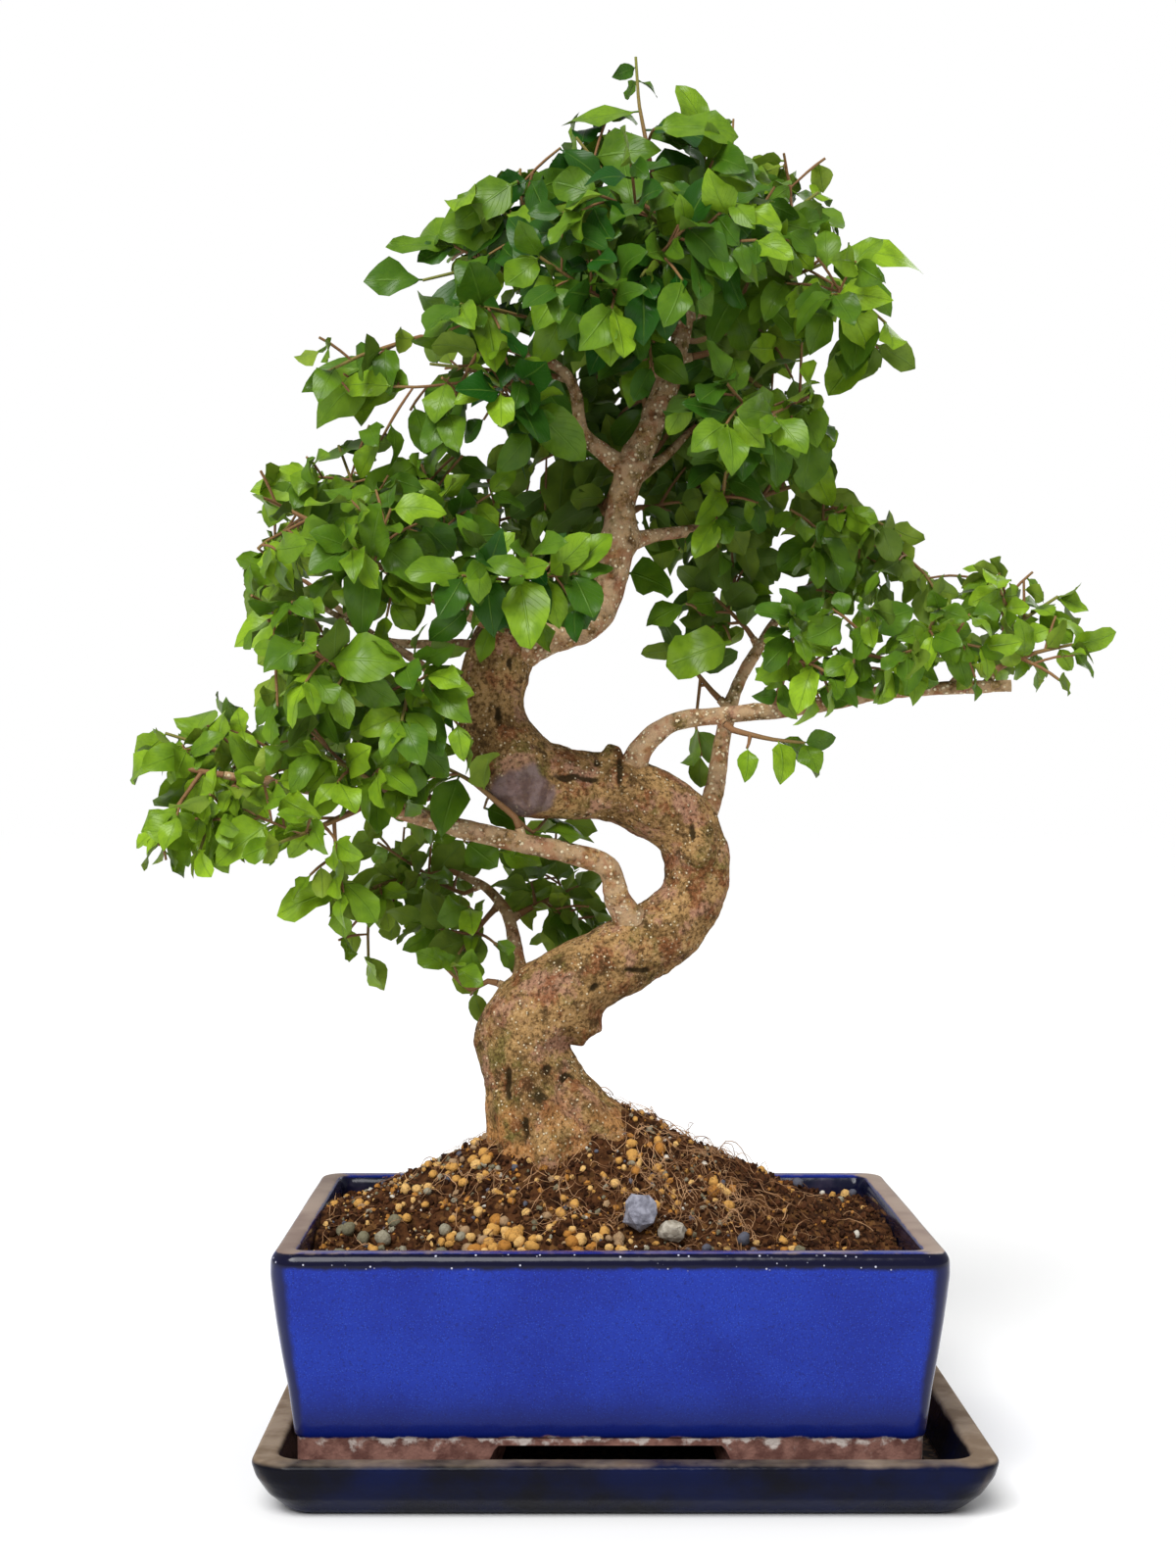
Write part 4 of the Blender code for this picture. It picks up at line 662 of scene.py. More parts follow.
grain_finish = Finish("grains", Roughness=0.9, Specular_IOR_Level=0.06)
kind = grain_finish.ramp(
    grain_finish.attribute("shade"),
    (0.0, (0.026, 0.010, 0.005)), (0.28, (0.075, 0.028, 0.012)), (0.50, (0.140, 0.064, 0.026)),
    (0.62, (0.420, 0.185, 0.040)), (0.68, (0.560, 0.300, 0.080)), (0.76, (0.680, 0.420, 0.150)),
    (0.81, (0.360, 0.235, 0.130)), (0.85, (0.100, 0.105, 0.135)), (0.88, (0.180, 0.165, 0.105)),
    (0.93, (0.300, 0.275, 0.200)), (0.98, (0.620, 0.580, 0.500)))
dust = grain_finish.patches(900, 0.45, 0.75)
grain_finish.paint(grain_finish.tint(kind, dust, 0.5, (0.070, 0.030, 0.013)))
grain_finish.bump(grain_finish.cloud(1500, 3), 0.0004)
draw = np.random.default_rng(7)
for title, count, low, high, sink in LOOSE_GRAINS:
    flat = draw.uniform([-0.114, -0.082], [0.114, 0.082], (count, 2))
    flat = flat[clear_of_flare(flat)]
    sizes = draw.uniform(low, high, len(flat))
    shades = draw.uniform(0, 1, len(flat)) * np.where(flat[:, 0] > DARK_FROM, DARK_KINDS, 1)
    points, faces, shade = many_grains(on_soil(flat, sizes, sink), sizes, shades, draw)
    add_piece(title, points, faces, [grain_finish.material], "soil", crease=25, shade=shade)
heaped = []
for centre, spread, count, low, high, first_kind, last_kind in HEAPS:
    flat = np.clip(draw.normal(centre, spread, (count, 2)), [-0.112, -0.0795], [0.112, 0.0795])
    sizes, shades = draw.uniform(low, high, count), draw.uniform(first_kind, last_kind, count)
    heaped.append(np.column_stack([flat, sizes, shades]))
heaped = np.vstack(heaped)
heaped = heaped[clear_of_flare(heaped[:, :2])]
flat, sizes, shades = heaped[:, :2], heaped[:, 2], heaped[:, 3]
points, faces, shade = many_grains(on_soil(flat, sizes, 0.5), sizes, shades, draw, detail=2, rough=0.12)
add_piece("heaped_grains", points, faces, [grain_finish.material], "soil", crease=60, shade=shade)

# %% [markdown]
# Fine dead roots lie over the mound and stick out of it. Each is a thin tube along a path that wanders: its
# heading is a running sum of small random turns, and its height follows the soil.


# %% Root fibres
def frames(paths):
    """Two directions across each path, level and upright, for an array of paths by points by XYZ."""
    forward = np.gradient(paths, axis=1)
    forward /= np.linalg.norm(forward, axis=-1, keepdims=True)
    level = np.cross(forward, UP)
    level /= np.maximum(np.linalg.norm(level, axis=-1, keepdims=True), 1e-6)
    return level, np.cross(forward, level)


def thin_tubes(paths, radii, sides):
    """Closed tubes round many paths of equal length: rings of corners, then a face over each end."""
    level, upright = frames(paths)
    angles = 2 * math.pi * np.arange(sides)[:, None] / sides
    rings = paths[:, :, None] + radii[:, :, None, None] * (
        level[:, :, None] * np.cos(angles) + upright[:, :, None] * np.sin(angles))
    count, steps = paths.shape[:2]
    cells = grid_cells(steps, sides)
    first = (np.arange(count) * steps * sides)[:, None, None]
    ends = np.stack([np.arange(sides)[::-1], (steps - 1) * sides + np.arange(sides)])
    return rings.reshape(-1, 3), [(cells + first).reshape(-1, 4), (ends + first).reshape(-1, sides)]


def wander(start, step, turn, steps, draw):
    """Flat paths from many starts, with a step's length and a typical turn per step in radians."""
    count = len(start)
    heading = draw.uniform(0, 2 * math.pi, (count, 1))
    heading = heading + np.cumsum(draw.normal(0, turn, (count, steps)), axis=1)
    forward = np.stack([np.cos(heading), np.sin(heading)], axis=-1)
    flat = start[:, None] + np.cumsum(forward * step[..., None], axis=1)
    return np.clip(flat, [-0.112, -0.080], [0.112, 0.080])


FIBRE_STEPS = 14
# Fibres: count, centre X and Y, how far they spread, least and greatest step, turn, greatest height, radius
FIBRE_GROUPS = [
    (260, (-0.005, -0.006), (0.050, 0.036), 0.0007, 0.0022, 0.40, 0.0030, 0.00024),
    (120, (0.010, -0.045), (0.036, 0.016), 0.0007, 0.0020, 0.50, 0.0040, 0.00021),
    (90, (0.040, -0.034), (0.016, 0.012), 0.0006, 0.0018, 0.60, 0.0060, 0.00020),
    (12, (0.034, -0.004), (0.010, 0.010), 0.0016, 0.0028, 0.35, 0.0100, 0.00026),
]
draw = np.random.default_rng(21)
fibre_paths, fibre_radii = [], []
for count, centre, spread, least, most, turn, height, radius in FIBRE_GROUPS:
    start = draw.normal(centre, spread, (count, 2))
    flat = wander(start, draw.uniform(least, most, (count, 1)), turn, FIBRE_STEPS, draw)
    arch = np.abs(np.sin(np.linspace(0, 2 * math.pi, FIBRE_STEPS) * draw.uniform(0.3, 1.0, (count, 1))))
    rise = draw.uniform(0.0006, 0.0018, (count, 1)) + arch * draw.uniform(0.1, 1.0, (count, 1)) * height
    level = soil_height(*np.moveaxis(flat, -1, 0)) + rise
    fibre_paths.append(np.concatenate([flat, level[..., None]], axis=-1))
    fibre_radii.append(draw.uniform(0.4, 1.0, (count, 1)) * radius * np.linspace(1, 0.4, FIBRE_STEPS))
fibre_paths, fibre_radii = np.vstack(fibre_paths), np.vstack(fibre_radii)
fibre_finish = Finish("dead_roots", Roughness=0.85, Specular_IOR_Level=0.06)
faded = fibre_finish.patches(90, 0.35, 0.65, 3)
fibre_finish.paint(fibre_finish.mix(faded, (0.150, 0.065, 0.028), (0.500, 0.290, 0.150)))
add_piece("root_fibres", *thin_tubes(fibre_paths, fibre_radii, 4), [fibre_finish.material], "soil", crease=80)

# %% [markdown]
# ## Two stones
#
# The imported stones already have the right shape, angular for the grey one and rounder for the pale one. They
# only need a finish: fine grains of lighter and darker mineral and a slightly pitted face.

# %% Stones
for node, dark, pale in (("stone_grey", (0.155, 0.155, 0.190), (0.330, 0.330, 0.390)),
                         ("stone_pale", (0.250, 0.215, 0.165), (0.500, 0.455, 0.380))):
    mineral = Finish(node + "_face", Roughness=0.85, Specular_IOR_Level=0.15)
    mottled = mineral.mix(mineral.patches(300, 0.35, 0.68, 5), dark, pale)
    mineral.paint(mineral.mix(mineral.dots(1500, 0.25, 0.08), mottled, pale))
    mineral.bump(mineral.cloud(600, 5), 0.0008)
    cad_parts[node].data.materials.clear()
    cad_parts[node].data.materials.append(mineral.material)
    print(node, "dressed")

# %% [markdown]
# ## Wood: paths and tubes
#
# Trunk, limbs and twigs are all tubes round a curve through a few points, with a radius at each. The curve is
# a Catmull-Rom spline, which passes through its points. The ring is turned as little as possible from step to
# step, so that the bark doesn't twist.


# %% Curves and tubes
def unit(vector):
    vector = np.asarray(vector, float)
    return vector / max(np.linalg.norm(vector), 1e-12)


def spline(knots, spacing):
    """Points of a Catmull-Rom curve through the knots; further columns, such as a radius, come along."""
    knots = np.asarray(knots, float)
    knots = np.vstack([2 * knots[0] - knots[1], knots, 2 * knots[-1] - knots[-2]])
    pieces = []
    for a, b, c, d in zip(knots, knots[1:], knots[2:], knots[3:]):
        steps = max(1, round(float(np.linalg.norm((c - b)[:3])) / spacing))
        t = (np.arange(steps) / steps)[:, None]
        pieces.append(0.5 * (2 * b + (c - a) * t + (2 * a - 5 * b + 4 * c - d) * t**2
                             + (3 * b - a - 3 * c + d) * t**3))
    return np.vstack(pieces + [knots[-2:-1]])


def ring_frames(path, level):
    """For each point of a path two directions across, turned as little as possible from point to point.

    Level is 0 for a ring square to the path, and 1 for one that lies flat.
    """
    steps = np.gradient(path[:, :3], axis=0)
    steps /= np.linalg.norm(steps, axis=1)[:, None]
    steps = steps * (1 - level) + UP * level
    across = unit(np.cross(steps[0], UP if abs(steps[0][2]) < 0.9 else (1.0, 0.0, 0.0)))
    sides = []
    for forward in steps:
        forward = unit(forward)
        across = unit(across - np.dot(across, forward) * forward)
        sides.append((across, np.cross(forward, across)))
    return np.array(sides)


def tube(path, sides, level=0.0):
    """Rings of points round a path of (X, Y, Z, radius)."""
    across = ring_frames(path, level)
    angles = np.linspace(0, 2 * math.pi, sides, endpoint=False)[:, None]
    around = across[:, None, 0] * np.cos(angles) + across[:, None, 1] * np.sin(angles)
    return path[:, None, :3] + path[:, 3:4, None] * around


print("curve helpers ready")

# %% [markdown]
# ## The tree's plan
#
# These tables hold the tree: the centre line of the trunk and of every limb, with the radius at each point,
# and for every leafy shoot the limb that it grows from, the share of the limb's length, its stem and the tips
# of its twigs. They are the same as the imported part's, so that fine leaves land on its plain ones. Lengths
# are whole numbers, which are shorter to read: tenths of a millimetre for wood, and millimetres for shoots.


# %% Trunk and limbs
def metres(table, parts=1000):
    """The same table with its whole numbers, so many parts of a metre, in metres; decimals are no lengths."""
    if isinstance(table, dict):
        return {name: metres(rows, parts) for name, rows in table.items()}
    if isinstance(table, (list, tuple)):
        return [metres(row, parts) for row in table]
    return table / parts if isinstance(table, int) else table


TRUNK = metres([
    (-200, 0, 1280, 262), (-262, 0, 1430, 214), (-316, 0, 1550, 187), (-340, 0, 1660, 188),
    (-290, -20, 1770, 182), (-140, -20, 1890, 166), (80, 20, 2020, 151), (260, 40, 2130, 143),
    (360, 50, 2260, 135), (380, 40, 2410, 135), (330, 20, 2540, 140), (200, 0, 2640, 146),
    (20, -20, 2700, 142), (-180, -50, 2720, 144), (-340, -80, 2770, 162), (-430, -80, 2880, 154),
    (-470, -70, 3010, 134), (-460, -40, 3150, 135), (-410, -10, 3290, 145), (-350, 10, 3380, 132),
    (-310, 20, 3460, 110),
], 10000)
LIMBS = metres({
    "leader": [
        (-400, -20, 3270, 100), (-240, -50, 3330, 78), (-80, -40, 3380, 72), (0, -20, 3490, 70),
        (40, -10, 3660, 69), (55, 0, 3730, 77), (60, 0, 3840, 64), (80, 0, 3940, 60), (110, -10, 4030, 70),
        (160, -20, 4130, 58), (230, -40, 4300, 51), (280, -40, 4450, 45), (320, -60, 4600, 35),
        (350, -70, 4760, 26), (300, -90, 4970, 18), (210, -100, 5150, 12),
    ],
    "left_low": [
        (140, 0, 2110, 58), (50, -70, 2240, 50), (0, -120, 2380, 46), (-160, -160, 2440, 43),
        (-390, -200, 2490, 39), (-700, -260, 2570, 36), (-1040, -330, 2670, 29), (-1280, -370, 2710, 21),
        (-1510, -400, 2750, 15),
    ],
    "left_back": [
        (-330, 60, 1850, 38), (-370, 180, 2000, 30), (-410, 320, 2160, 26), (-500, 430, 2270, 20),
        (-620, 500, 2330, 15),
    ],
    "right_low": [
        (90, -20, 2730, 56), (150, -70, 2870, 43), (280, -90, 2970, 38), (500, -110, 3000, 34),
        (820, -150, 3030, 32), (1080, -180, 3080, 29), (1320, -210, 3100, 26), (1620, -240, 3110, 26),
    ],
    "right_back": [
        (380, 80, 2500, 52), (460, 190, 2700, 40), (500, 280, 2920, 35), (570, 380, 3140, 29),
        (680, 480, 3330, 23), (790, 580, 3490, 17),
    ],
    "right_mid": [(60, 20, 3710, 36), (220, 60, 3750, 27), (450, 130, 3790, 27), (620, 180, 3830, 25)],
    "right_stub": [(130, 10, 3990, 30), (240, 70, 4070, 22), (350, 140, 4190, 16)],
    "left_mid_low": [
        (-490, -80, 3080, 34), (-660, -200, 3140, 20), (-830, -340, 3250, 16), (-1110, -480, 3400, 11),
    ],
    "left_mid": [
        (-470, 20, 3270, 34), (-620, 100, 3300, 23), (-900, 220, 3320, 17), (-1070, 280, 3420, 14),
        (-1240, 320, 3560, 11),
    ],
    "left_mid_high": [
        (-370, -30, 3350, 34), (-560, -150, 3400, 23), (-820, -300, 3530, 16), (-1120, -400, 3720, 11),
    ],
    "stump_back": [(-330, 80, 3400, 38), (-400, 280, 3630, 24), (-580, 440, 3840, 17), (-710, 500, 3960, 13)],
    "crown_left": [
        (100, -10, 4000, 40), (-10, -30, 4080, 35), (-100, -60, 4160, 30), (-125, -90, 4310, 26),
        (-200, -130, 4410, 22), (-430, -220, 4480, 16), (-700, -320, 4490, 11),
    ],
}, 10000)
# Pruned stubs, healed scars and burls on the trunk: centre, direction it faces, radius, rise
KNOTS = metres([
    ((-340, -145, 2690), (-0.45, -0.8, -0.35), 105, 62), ((50, -100, 2720), (0.1, -0.9, 0.3), 48, 72),
    ((30, -60, 2810), (0.0, -0.4, 0.9), 35, 62), ((-155, -30, 1800), (0.62, -0.15, -0.77), 65, 85),
    ((360, -50, 2440), (0.2, -0.95, 0.1), 52, 66), ((-260, -140, 1480), (-0.1, -0.95, 0.1), 85, 75),
    ((100, 60, 2630), (0.2, 0.8, 0.4), 60, 110),
], 10000)
SURFACE_ROOTS = metres([
    [(-200, -120, 1460, 90), (-40, -150, 1340, 75), (40, -130, 1180, 60)],
    [(-300, -100, 1460, 85), (-360, -140, 1300, 70), (-340, -120, 1160, 60)],
    [(-160, 80, 1460, 90), (-50, 130, 1320, 65), (0, 120, 1160, 60)],
], 10000)
print("limbs:", len(LIMBS), "knots:", len(KNOTS))

# %% Shoots by the limb that they grow from: (share of the limb's length, stem points, twig tips)
SHOOTS = metres({
    "left_low": [
        (1.0, [], [(-189, -42, 281), (-179, -52, 240), (-165, -48, 254)]),
        (0.9, [], [(-177, -24, 292), (-157, -62, 246)]), (0.8, [], [(-153, 2, 297), (-162, -5, 282)]),
        (0.7, [], [(-125, -72, 249), (-141, -58, 262), (-103, -52, 229)]),
        (0.6, [], [(-111, -62, 283), (-124, -40, 300)]), (0.5, [], [(-95, 10, 286), (-111, 25, 295)]),
        (0.36, [], [(-70, -30, 281), (-82, -50, 271), (-24, -2, 258)]),
    ],
    "left_back": [
        (1.0, [], [(-109, 30, 224), (-99, 15, 200)]), (0.85, [], [(-84, 62, 238), (-98, 50, 247)]),
        (0.66, [], [(-62, 10, 200), (-77, 20, 214)]),
        (0.52, [], [(-11, 50, 228), (-24, 60, 238), (-11, 40, 209)]),
    ],
    "trunk": [
        (0.19, [(-56, 4, 186)], [(-66, 2, 196)]),
        (0.96, [(-36, -30, 345), (-40, -50, 350)], [(-34, -70, 351), (-56, -74, 350), (-12, -62, 352)]),
    ],
    "left_mid_low": [
        (1.0, [], [(-135, -60, 332), (-128, -50, 310)]), (0.7, [], [(-103, -75, 308), (-115, -80, 325)]),
        (0.42, [], [(-79, -70, 295), (-68, -60, 309)]),
    ],
    "left_mid": [
        (1.0, [], [(-151, 30, 364), (-141, 40, 380)]),
        (0.6, [], [(-111, 30, 318), (-131, 20, 334), (-83, 40, 297)]),
    ],
    "left_mid_high": [
        (1.0, [], [(-139, -35, 386), (-139, -65, 357)]), (0.75, [], [(-108, -20, 408), (-125, -30, 393)]),
        (0.55, [], [(-97, -80, 360), (-83, -70, 376)]), (0.35, [], [(-66, -30, 385), (-75, -15, 401)]),
    ],
    "stump_back": [(1.0, [], [(-93, 60, 412), (-106, 70, 394)]), (0.6, [], [(-45, 60, 406), (-24, 50, 391)])],
    "crown_left": [
        (1.0, [], [(-114, -40, 432), (-107, -30, 424)]), (0.8, [], [(-63, -50, 416), (-85, -40, 428)]),
        (0.55, [], [(-31, -40, 410), (-42, -55, 423)]), (0.44, [], [(-77, 20, 449), (-57, 40, 449)]),
    ],
    "leader": [
        (0.625, [(-3, -10, 447), (-23, -14, 459), (-45, -18, 482)],
         [(-74, -22, 474), (-62, -14, 490), (-57, -60, 456)]),
        (0.65, [], [(-8, -75, 456), (-27, -70, 472), (4, -70, 463)]),
        (0.67, [(46, -3, 450), (60, -6, 436)],
         [(96, -15, 413), (82, -30, 428), (53, -50, 409), (45, -60, 426)]),
        (0.69, [(38, 20, 458), (61, 48, 470)], [(94, 75, 491), (79, 60, 461)]),
        (0.71, [], [(-53, -30, 506), (-35, -10, 522)]),
        (0.73, [(34, 16, 468), (22, 42, 494)], [(-15, 70, 515), (2, 60, 530), (36, 55, 529)]),
        (0.75, [(48, -10, 468), (72, -14, 476)],
         [(97, -12, 487), (111, -30, 455), (87, -50, 462), (103, -20, 441)]),
        (0.775, [(30, -26, 472), (18, -50, 476)], [(12, -75, 463), (29, -75, 482), (44, -70, 472)]),
        (0.8, [(46, 0, 484), (62, 4, 497)], [(91, 0, 518), (75, 15, 531), (57, -50, 489)]),
        (0.845, [], [(11, -70, 492), (-4, -60, 498)]), (0.9, [], [(41, 0, 542), (58, 15, 530)]),
        (0.945, [], [(-15, -15, 537), (-21, 0, 527)]), (1.0, [], [(12, -6, 571)]),
    ],
    "right_low": [
        (0.94, [], [(188, -18, 328), (180, -30, 313)]), (0.86, [], [(186, 0, 349), (160, 10, 358)]),
        (0.73, [], [(129, -50, 340), (146, -45, 325)]), (0.58, [], [(101, -60, 339), (118, -50, 317)]),
        (0.42, [], [(72, -55, 336), (87, -55, 313)]), (0.3, [], [(79, -28, 288), (56, -26, 286)]),
    ],
    "right_back": [
        (1.0, [], [(114, 60, 376), (131, 50, 381), (143, 30, 351)]),
        (0.8, [], [(44, 50, 357), (63, 70, 372)]), (0.52, [], [(31, 40, 331), (41, 35, 314), (41, 28, 284)]),
    ],
    "right_mid": [
        (0.9, [], [(97, 30, 399), (117, 20, 381), (84, -10, 368)]),
        (0.6, [], [(48, -20, 398), (73, 40, 411)]),
    ],
    "right_stub": [(1.0, [], [(51, 30, 418), (66, 50, 400)])],
})
# Large leaves that stand out, by shoot: (stalk's root, leaf's tip, width)
LARGE_LEAVES = metres({
    "shoot_leader_13": [((13, -7, 538), (54, -12, 538), 18), ((12, -6, 546), (-21, -14, 540), 15)],
    "shoot_leader_7": [((97, -12, 487), (134, -10, 492), 15), ((96, -12, 486), (117, -20, 459), 17)],
    "shoot_leader_1": [((-73, -22, 474), (-100, -26, 474), 13), ((-61, -14, 490), (-92, -18, 492), 13)],
    "shoot_leader_8": [((10, -74, 463), (14, -86, 438), 15)],
    "shoot_left_low_4": [((-103, -52, 229), (-132, -55, 226), 14)],
    "shoot_trunk_2": [
        ((-35, -68, 351), (-28, -84, 320), 20), ((-14, -62, 352), (-4, -74, 334), 17),
        ((-13, -61, 352), (0, -60, 372), 15), ((-55, -73, 350), (-78, -82, 353), 15),
    ],
})
ROWS = [(f"shoot_{limb}_{number}", limb, *row)
        for limb in SHOOTS for number, row in enumerate(SHOOTS[limb], start=1)]
print("shoots:", len(ROWS))

# %% [markdown]
# ## Bark
#
# Old privet bark is mostly smooth, but the trunk swells and dips, healed cuts stand out as raised rings and
# the root flare is fluted like muscle. So the trunk is one fine tube. Its radius gets the lobes near the
# soil, and then each point moves outwards by layers of noise, coarse burls first and fine cracks last.

# %% Trunk shape
TRUNK_AROUND, TRUNK_SPACING = 132, 0.0007
TRUNK_TOP = (-0.0290, 0.002, 0.3500, 0.0085)
FLARE_PATH = [(x, 0.0, z, radius) for z, x, radius in FLARE]
LOBES_END, LOBES_FADE = 0.166, 0.022        # height where the flare's lobes end, and over how much they fade

trunk_path = spline(FLARE_PATH + TRUNK[3:] + [TRUNK_TOP], TRUNK_SPACING)
low = np.clip((LOBES_END - trunk_path[:, 2:3]) / LOBES_FADE, 0, 1)
trunk_rings = tube(trunk_path, TRUNK_AROUND, low)
out = trunk_rings - trunk_path[:, None, :3]
angles = np.arctan2(out[..., 1], out[..., 0])
run = np.cumsum(np.linalg.norm(np.gradient(trunk_path[:, :3], axis=0), axis=1))[:, None]
turn = np.linspace(0, 2 * math.pi, TRUNK_AROUND, endpoint=False)
grain = np.stack(np.broadcast_arrays(0.35 * run, 0.016 * np.cos(turn), 0.016 * np.sin(turn)), axis=-1)
factor = 1 + low * lobes(angles) + low * 0.035 * np.sin(11 * turn + 40 * run)
trunk_rings = trunk_path[:, None, :3] + out * factor[..., None]
way = out / np.linalg.norm(out, axis=-1, keepdims=True)
bumps = 0.0011 * layers(trunk_rings, 0.017, 2, 31) + 0.00050 * layers(trunk_rings, 0.0055, 3, 35)
cracks = np.clip(layers(grain, 0.006, 2, 45) - 0.40, 0, 1)
bumps = bumps + 0.00035 * layers(grain, 0.0028, 3, 39) - 0.0005 * cracks
trunk_rings = trunk_rings + way * bumps[..., None]
print("trunk rings:", len(trunk_rings), "highest bump:", round(bumps.max() * 1000, 2), "mm")

# %% [markdown]
# Where a branch was cut off, the bark has rolled in over the wound from all sides. Such a scar is a bump with
# a raised ring and a dished middle. Points near it move the way that the scar faces. The same distance gives
# the material its colour there, through an attribute on the points. Only the large scar at the bend is smooth
# and purplish grey, and the others are rough bosses in the colour of the bark.
#
# The front also has some hollows and cracks where bark has died. Each is an oval that is pushed in, and a
# second attribute paints it dark, both as dead bark and as painted shade in the recess.

# %% Scars and hollows
SCAR_SHARES = (0.4, 0.30, 0.0, 0.15, 0.0, 0.0, 0.4)     # how purple each knot is
# Ovals on the front: centre X and Z, half width, half height, depth
LARGE_SCAR = metres((-350, 2680, 150, 112, 8), 10000)
HOLLOWS = metres([
    (-403, 1506, 18, 80, 20), (-265, 1466, 30, 50, 16), (-237, 1565, 25, 20, 14), (-154, 1525, 35, 22, 10),
    (-45, 1890, 30, 22, 13), (-442, 2985, 16, 36, 18), (350, 2516, 14, 34, 14), (-131, 2742, 85, 14, 12),
    (58, 2770, 14, 75, 12), (-42, 2810, 16, 16, 10), (-20, 1390, 16, 70, 14), (-330, 1330, 15, 60, 12),
    (130, 1960, 60, 12, 7), (-395, 3200, 12, 42, 10),
], 10000)


def ragged_oval(points, place, size, seed, amount, power, front):
    """1 inside an oval on the front, 0 outside: exp of minus a power of the distance, frayed by noise."""
    x, z, half_width, half_height = place
    off = (points[..., [0, 2]] - [x, z]) / [half_width, half_height]
    off = off + np.stack([layers(points, size, 2, seed), layers(points, size, 2, seed + 4)], axis=-1) * amount
    return np.exp(-((off ** 2).sum(axis=-1)) ** power) * np.clip(-way[..., 1] * front, 0, 1)


scar = np.zeros(trunk_rings.shape[:2])
for (centre, facing, radius, rise), share in zip(KNOTS, SCAR_SHARES):
    facing = unit(facing)
    off = trunk_rings - np.array(centre)
    ahead = off @ facing
    apart = np.linalg.norm(off - ahead[..., None] * facing, axis=-1)
    near = (ahead > -0.6 * radius - 0.010) & (way @ facing > 0.15)
    dome = np.exp(-(apart / (radius * 1.25)) ** 4) * rise * 0.62
    ring = np.exp(-((apart - radius * 0.80) / (radius * 0.28)) ** 2) * 0.0009
    trunk_rings = trunk_rings + facing * (near * (dome + ring))[..., None]
    scar = np.maximum(scar, share * near * np.exp(-(apart / (radius * 0.85)) ** 4))
*place, depth = LARGE_SCAR
dish = ragged_oval(trunk_rings, place, 0.006, 71, 0.20, 2, 2.5)
trunk_rings = trunk_rings - way * (depth * dish)[..., None]
scar = np.maximum(scar, dish)
hollow = np.zeros(trunk_rings.shape[:2])
for *place, depth in HOLLOWS:
    oval = ragged_oval(trunk_rings, place, 0.004, 61, 0.55, 1.5, 2)
    trunk_rings = trunk_rings - way * (depth * oval)[..., None]
    hollow = np.maximum(hollow, oval)
print("points in scars:", int((scar > 0.5).sum()), "and in hollows:", int((hollow > 0.5).sum()))

# %% [markdown]
# Each limb is a finer tube of its own that starts inside the trunk. Its foot spreads a little, as a real
# branch collar does, and its bark is a weaker form of the trunk's.


# %% Limbs, surface roots and spurs
def limb_rings(knots, sides, spacing, roughness, collar=1.25):
    """A tube with bark noise, and a collar where it leaves the wood that carries it."""
    path = spline(knots, spacing)
    run = np.cumsum(np.linalg.norm(np.gradient(path[:, :3], axis=0), axis=1))
    path[:, 3] *= 1 + (collar - 1) * np.exp(-(run / (3.2 * path[0, 3])) ** 2)
    rings = tube(path, sides)
    out = rings - path[:, None, :3]
    swell = layers(rings, 0.012, 2, 51) * 0.09 + layers(rings, 0.004, 2, 55) * 0.06
    swell = swell + 0.05 * np.exp(-((run % 0.017 - 0.008) / 0.0016) ** 2)[:, None]
    return path[:, None, :3] + out * (1 + roughness * swell)[..., None]


def join_grids(grids):
    """Several closed grids as one list of points and faces."""
    points, faces, first = [], [], 0
    for grid in grids:
        own, rows = closed_grid(grid)
        points.append(own)
        faces += [cells + first for cells in rows]
        first += len(own)
    return np.vstack(points), faces


limb_grids = [limb_rings(LIMBS["leader"], 44, 0.0011, 1.0, 1.1)]
limb_grids += [limb_rings(knots, 22, 0.0018, 1.0) for name, knots in LIMBS.items() if name != "leader"]
limb_grids += [limb_rings(knots, 26, 0.0015, 1.6, 1.0) for knots in SURFACE_ROOTS]
limb_points, limb_faces = join_grids(limb_grids)
print("limb points:", len(limb_points))

# %% [markdown]
# The bark is tan, mottled with dark olive, moss green, rust and pinkish grey, and a fine grain runs through
# all of it. Near the soil it is dusted orange. Small pale specks are its breathing pores. Healed cuts are
# smoother and purplish grey, and hollows are painted dark, as dead bark and as shade. The limbs are younger,
# paler and rustier. A weak and fine bump carries what is too small for the mesh.

# %% Bark finish
bark = Finish("privet_bark", Specular_IOR_Level=0.10)
# Patches: scale, where they start and are full, strength, colour
PATCHES = [
    (42, 0.50, 0.62, 0.80, (0.130, 0.112, 0.026)), (70, 0.51, 0.62, 0.75, (0.390, 0.200, 0.135)),
    (90, 0.53, 0.62, 0.75, (0.220, 0.072, 0.028)), (110, 0.54, 0.64, 0.75, (0.056, 0.031, 0.012)),
]
skin = bark.mix(bark.patches(75, 0.40, 0.60, 6, 0.70), (0.175, 0.098, 0.034), (0.430, 0.255, 0.100))
for scale, start, full, strength, colour in PATCHES:
    skin = bark.tint(skin, bark.patches(scale, start, full, 6, 0.66), strength, colour)
dusted = bark.times(bark.span(bark.height(), 0.150, 0.130), bark.patches(105, 0.40, 0.58, 5))
skin = bark.tint(skin, dusted, 0.85, (0.460, 0.215, 0.070))
fine = bark.cloud(650, 5, 0.68)
skin = bark.tint(skin, bark.span(fine, 0.51, 0.38), 0.80, (0.052, 0.027, 0.010))
skin = bark.tint(skin, bark.span(fine, 0.54, 0.66), 0.45, (0.600, 0.400, 0.210))
young = bark.attribute("young")
skin = bark.tint(skin, young, bark.times(bark.patches(190, 0.36, 0.58, 5), 0.68), (0.560, 0.385, 0.225))
skin = bark.tint(skin, young, bark.times(bark.patches(130, 0.52, 0.62, 5), 0.55), (0.330, 0.130, 0.060))
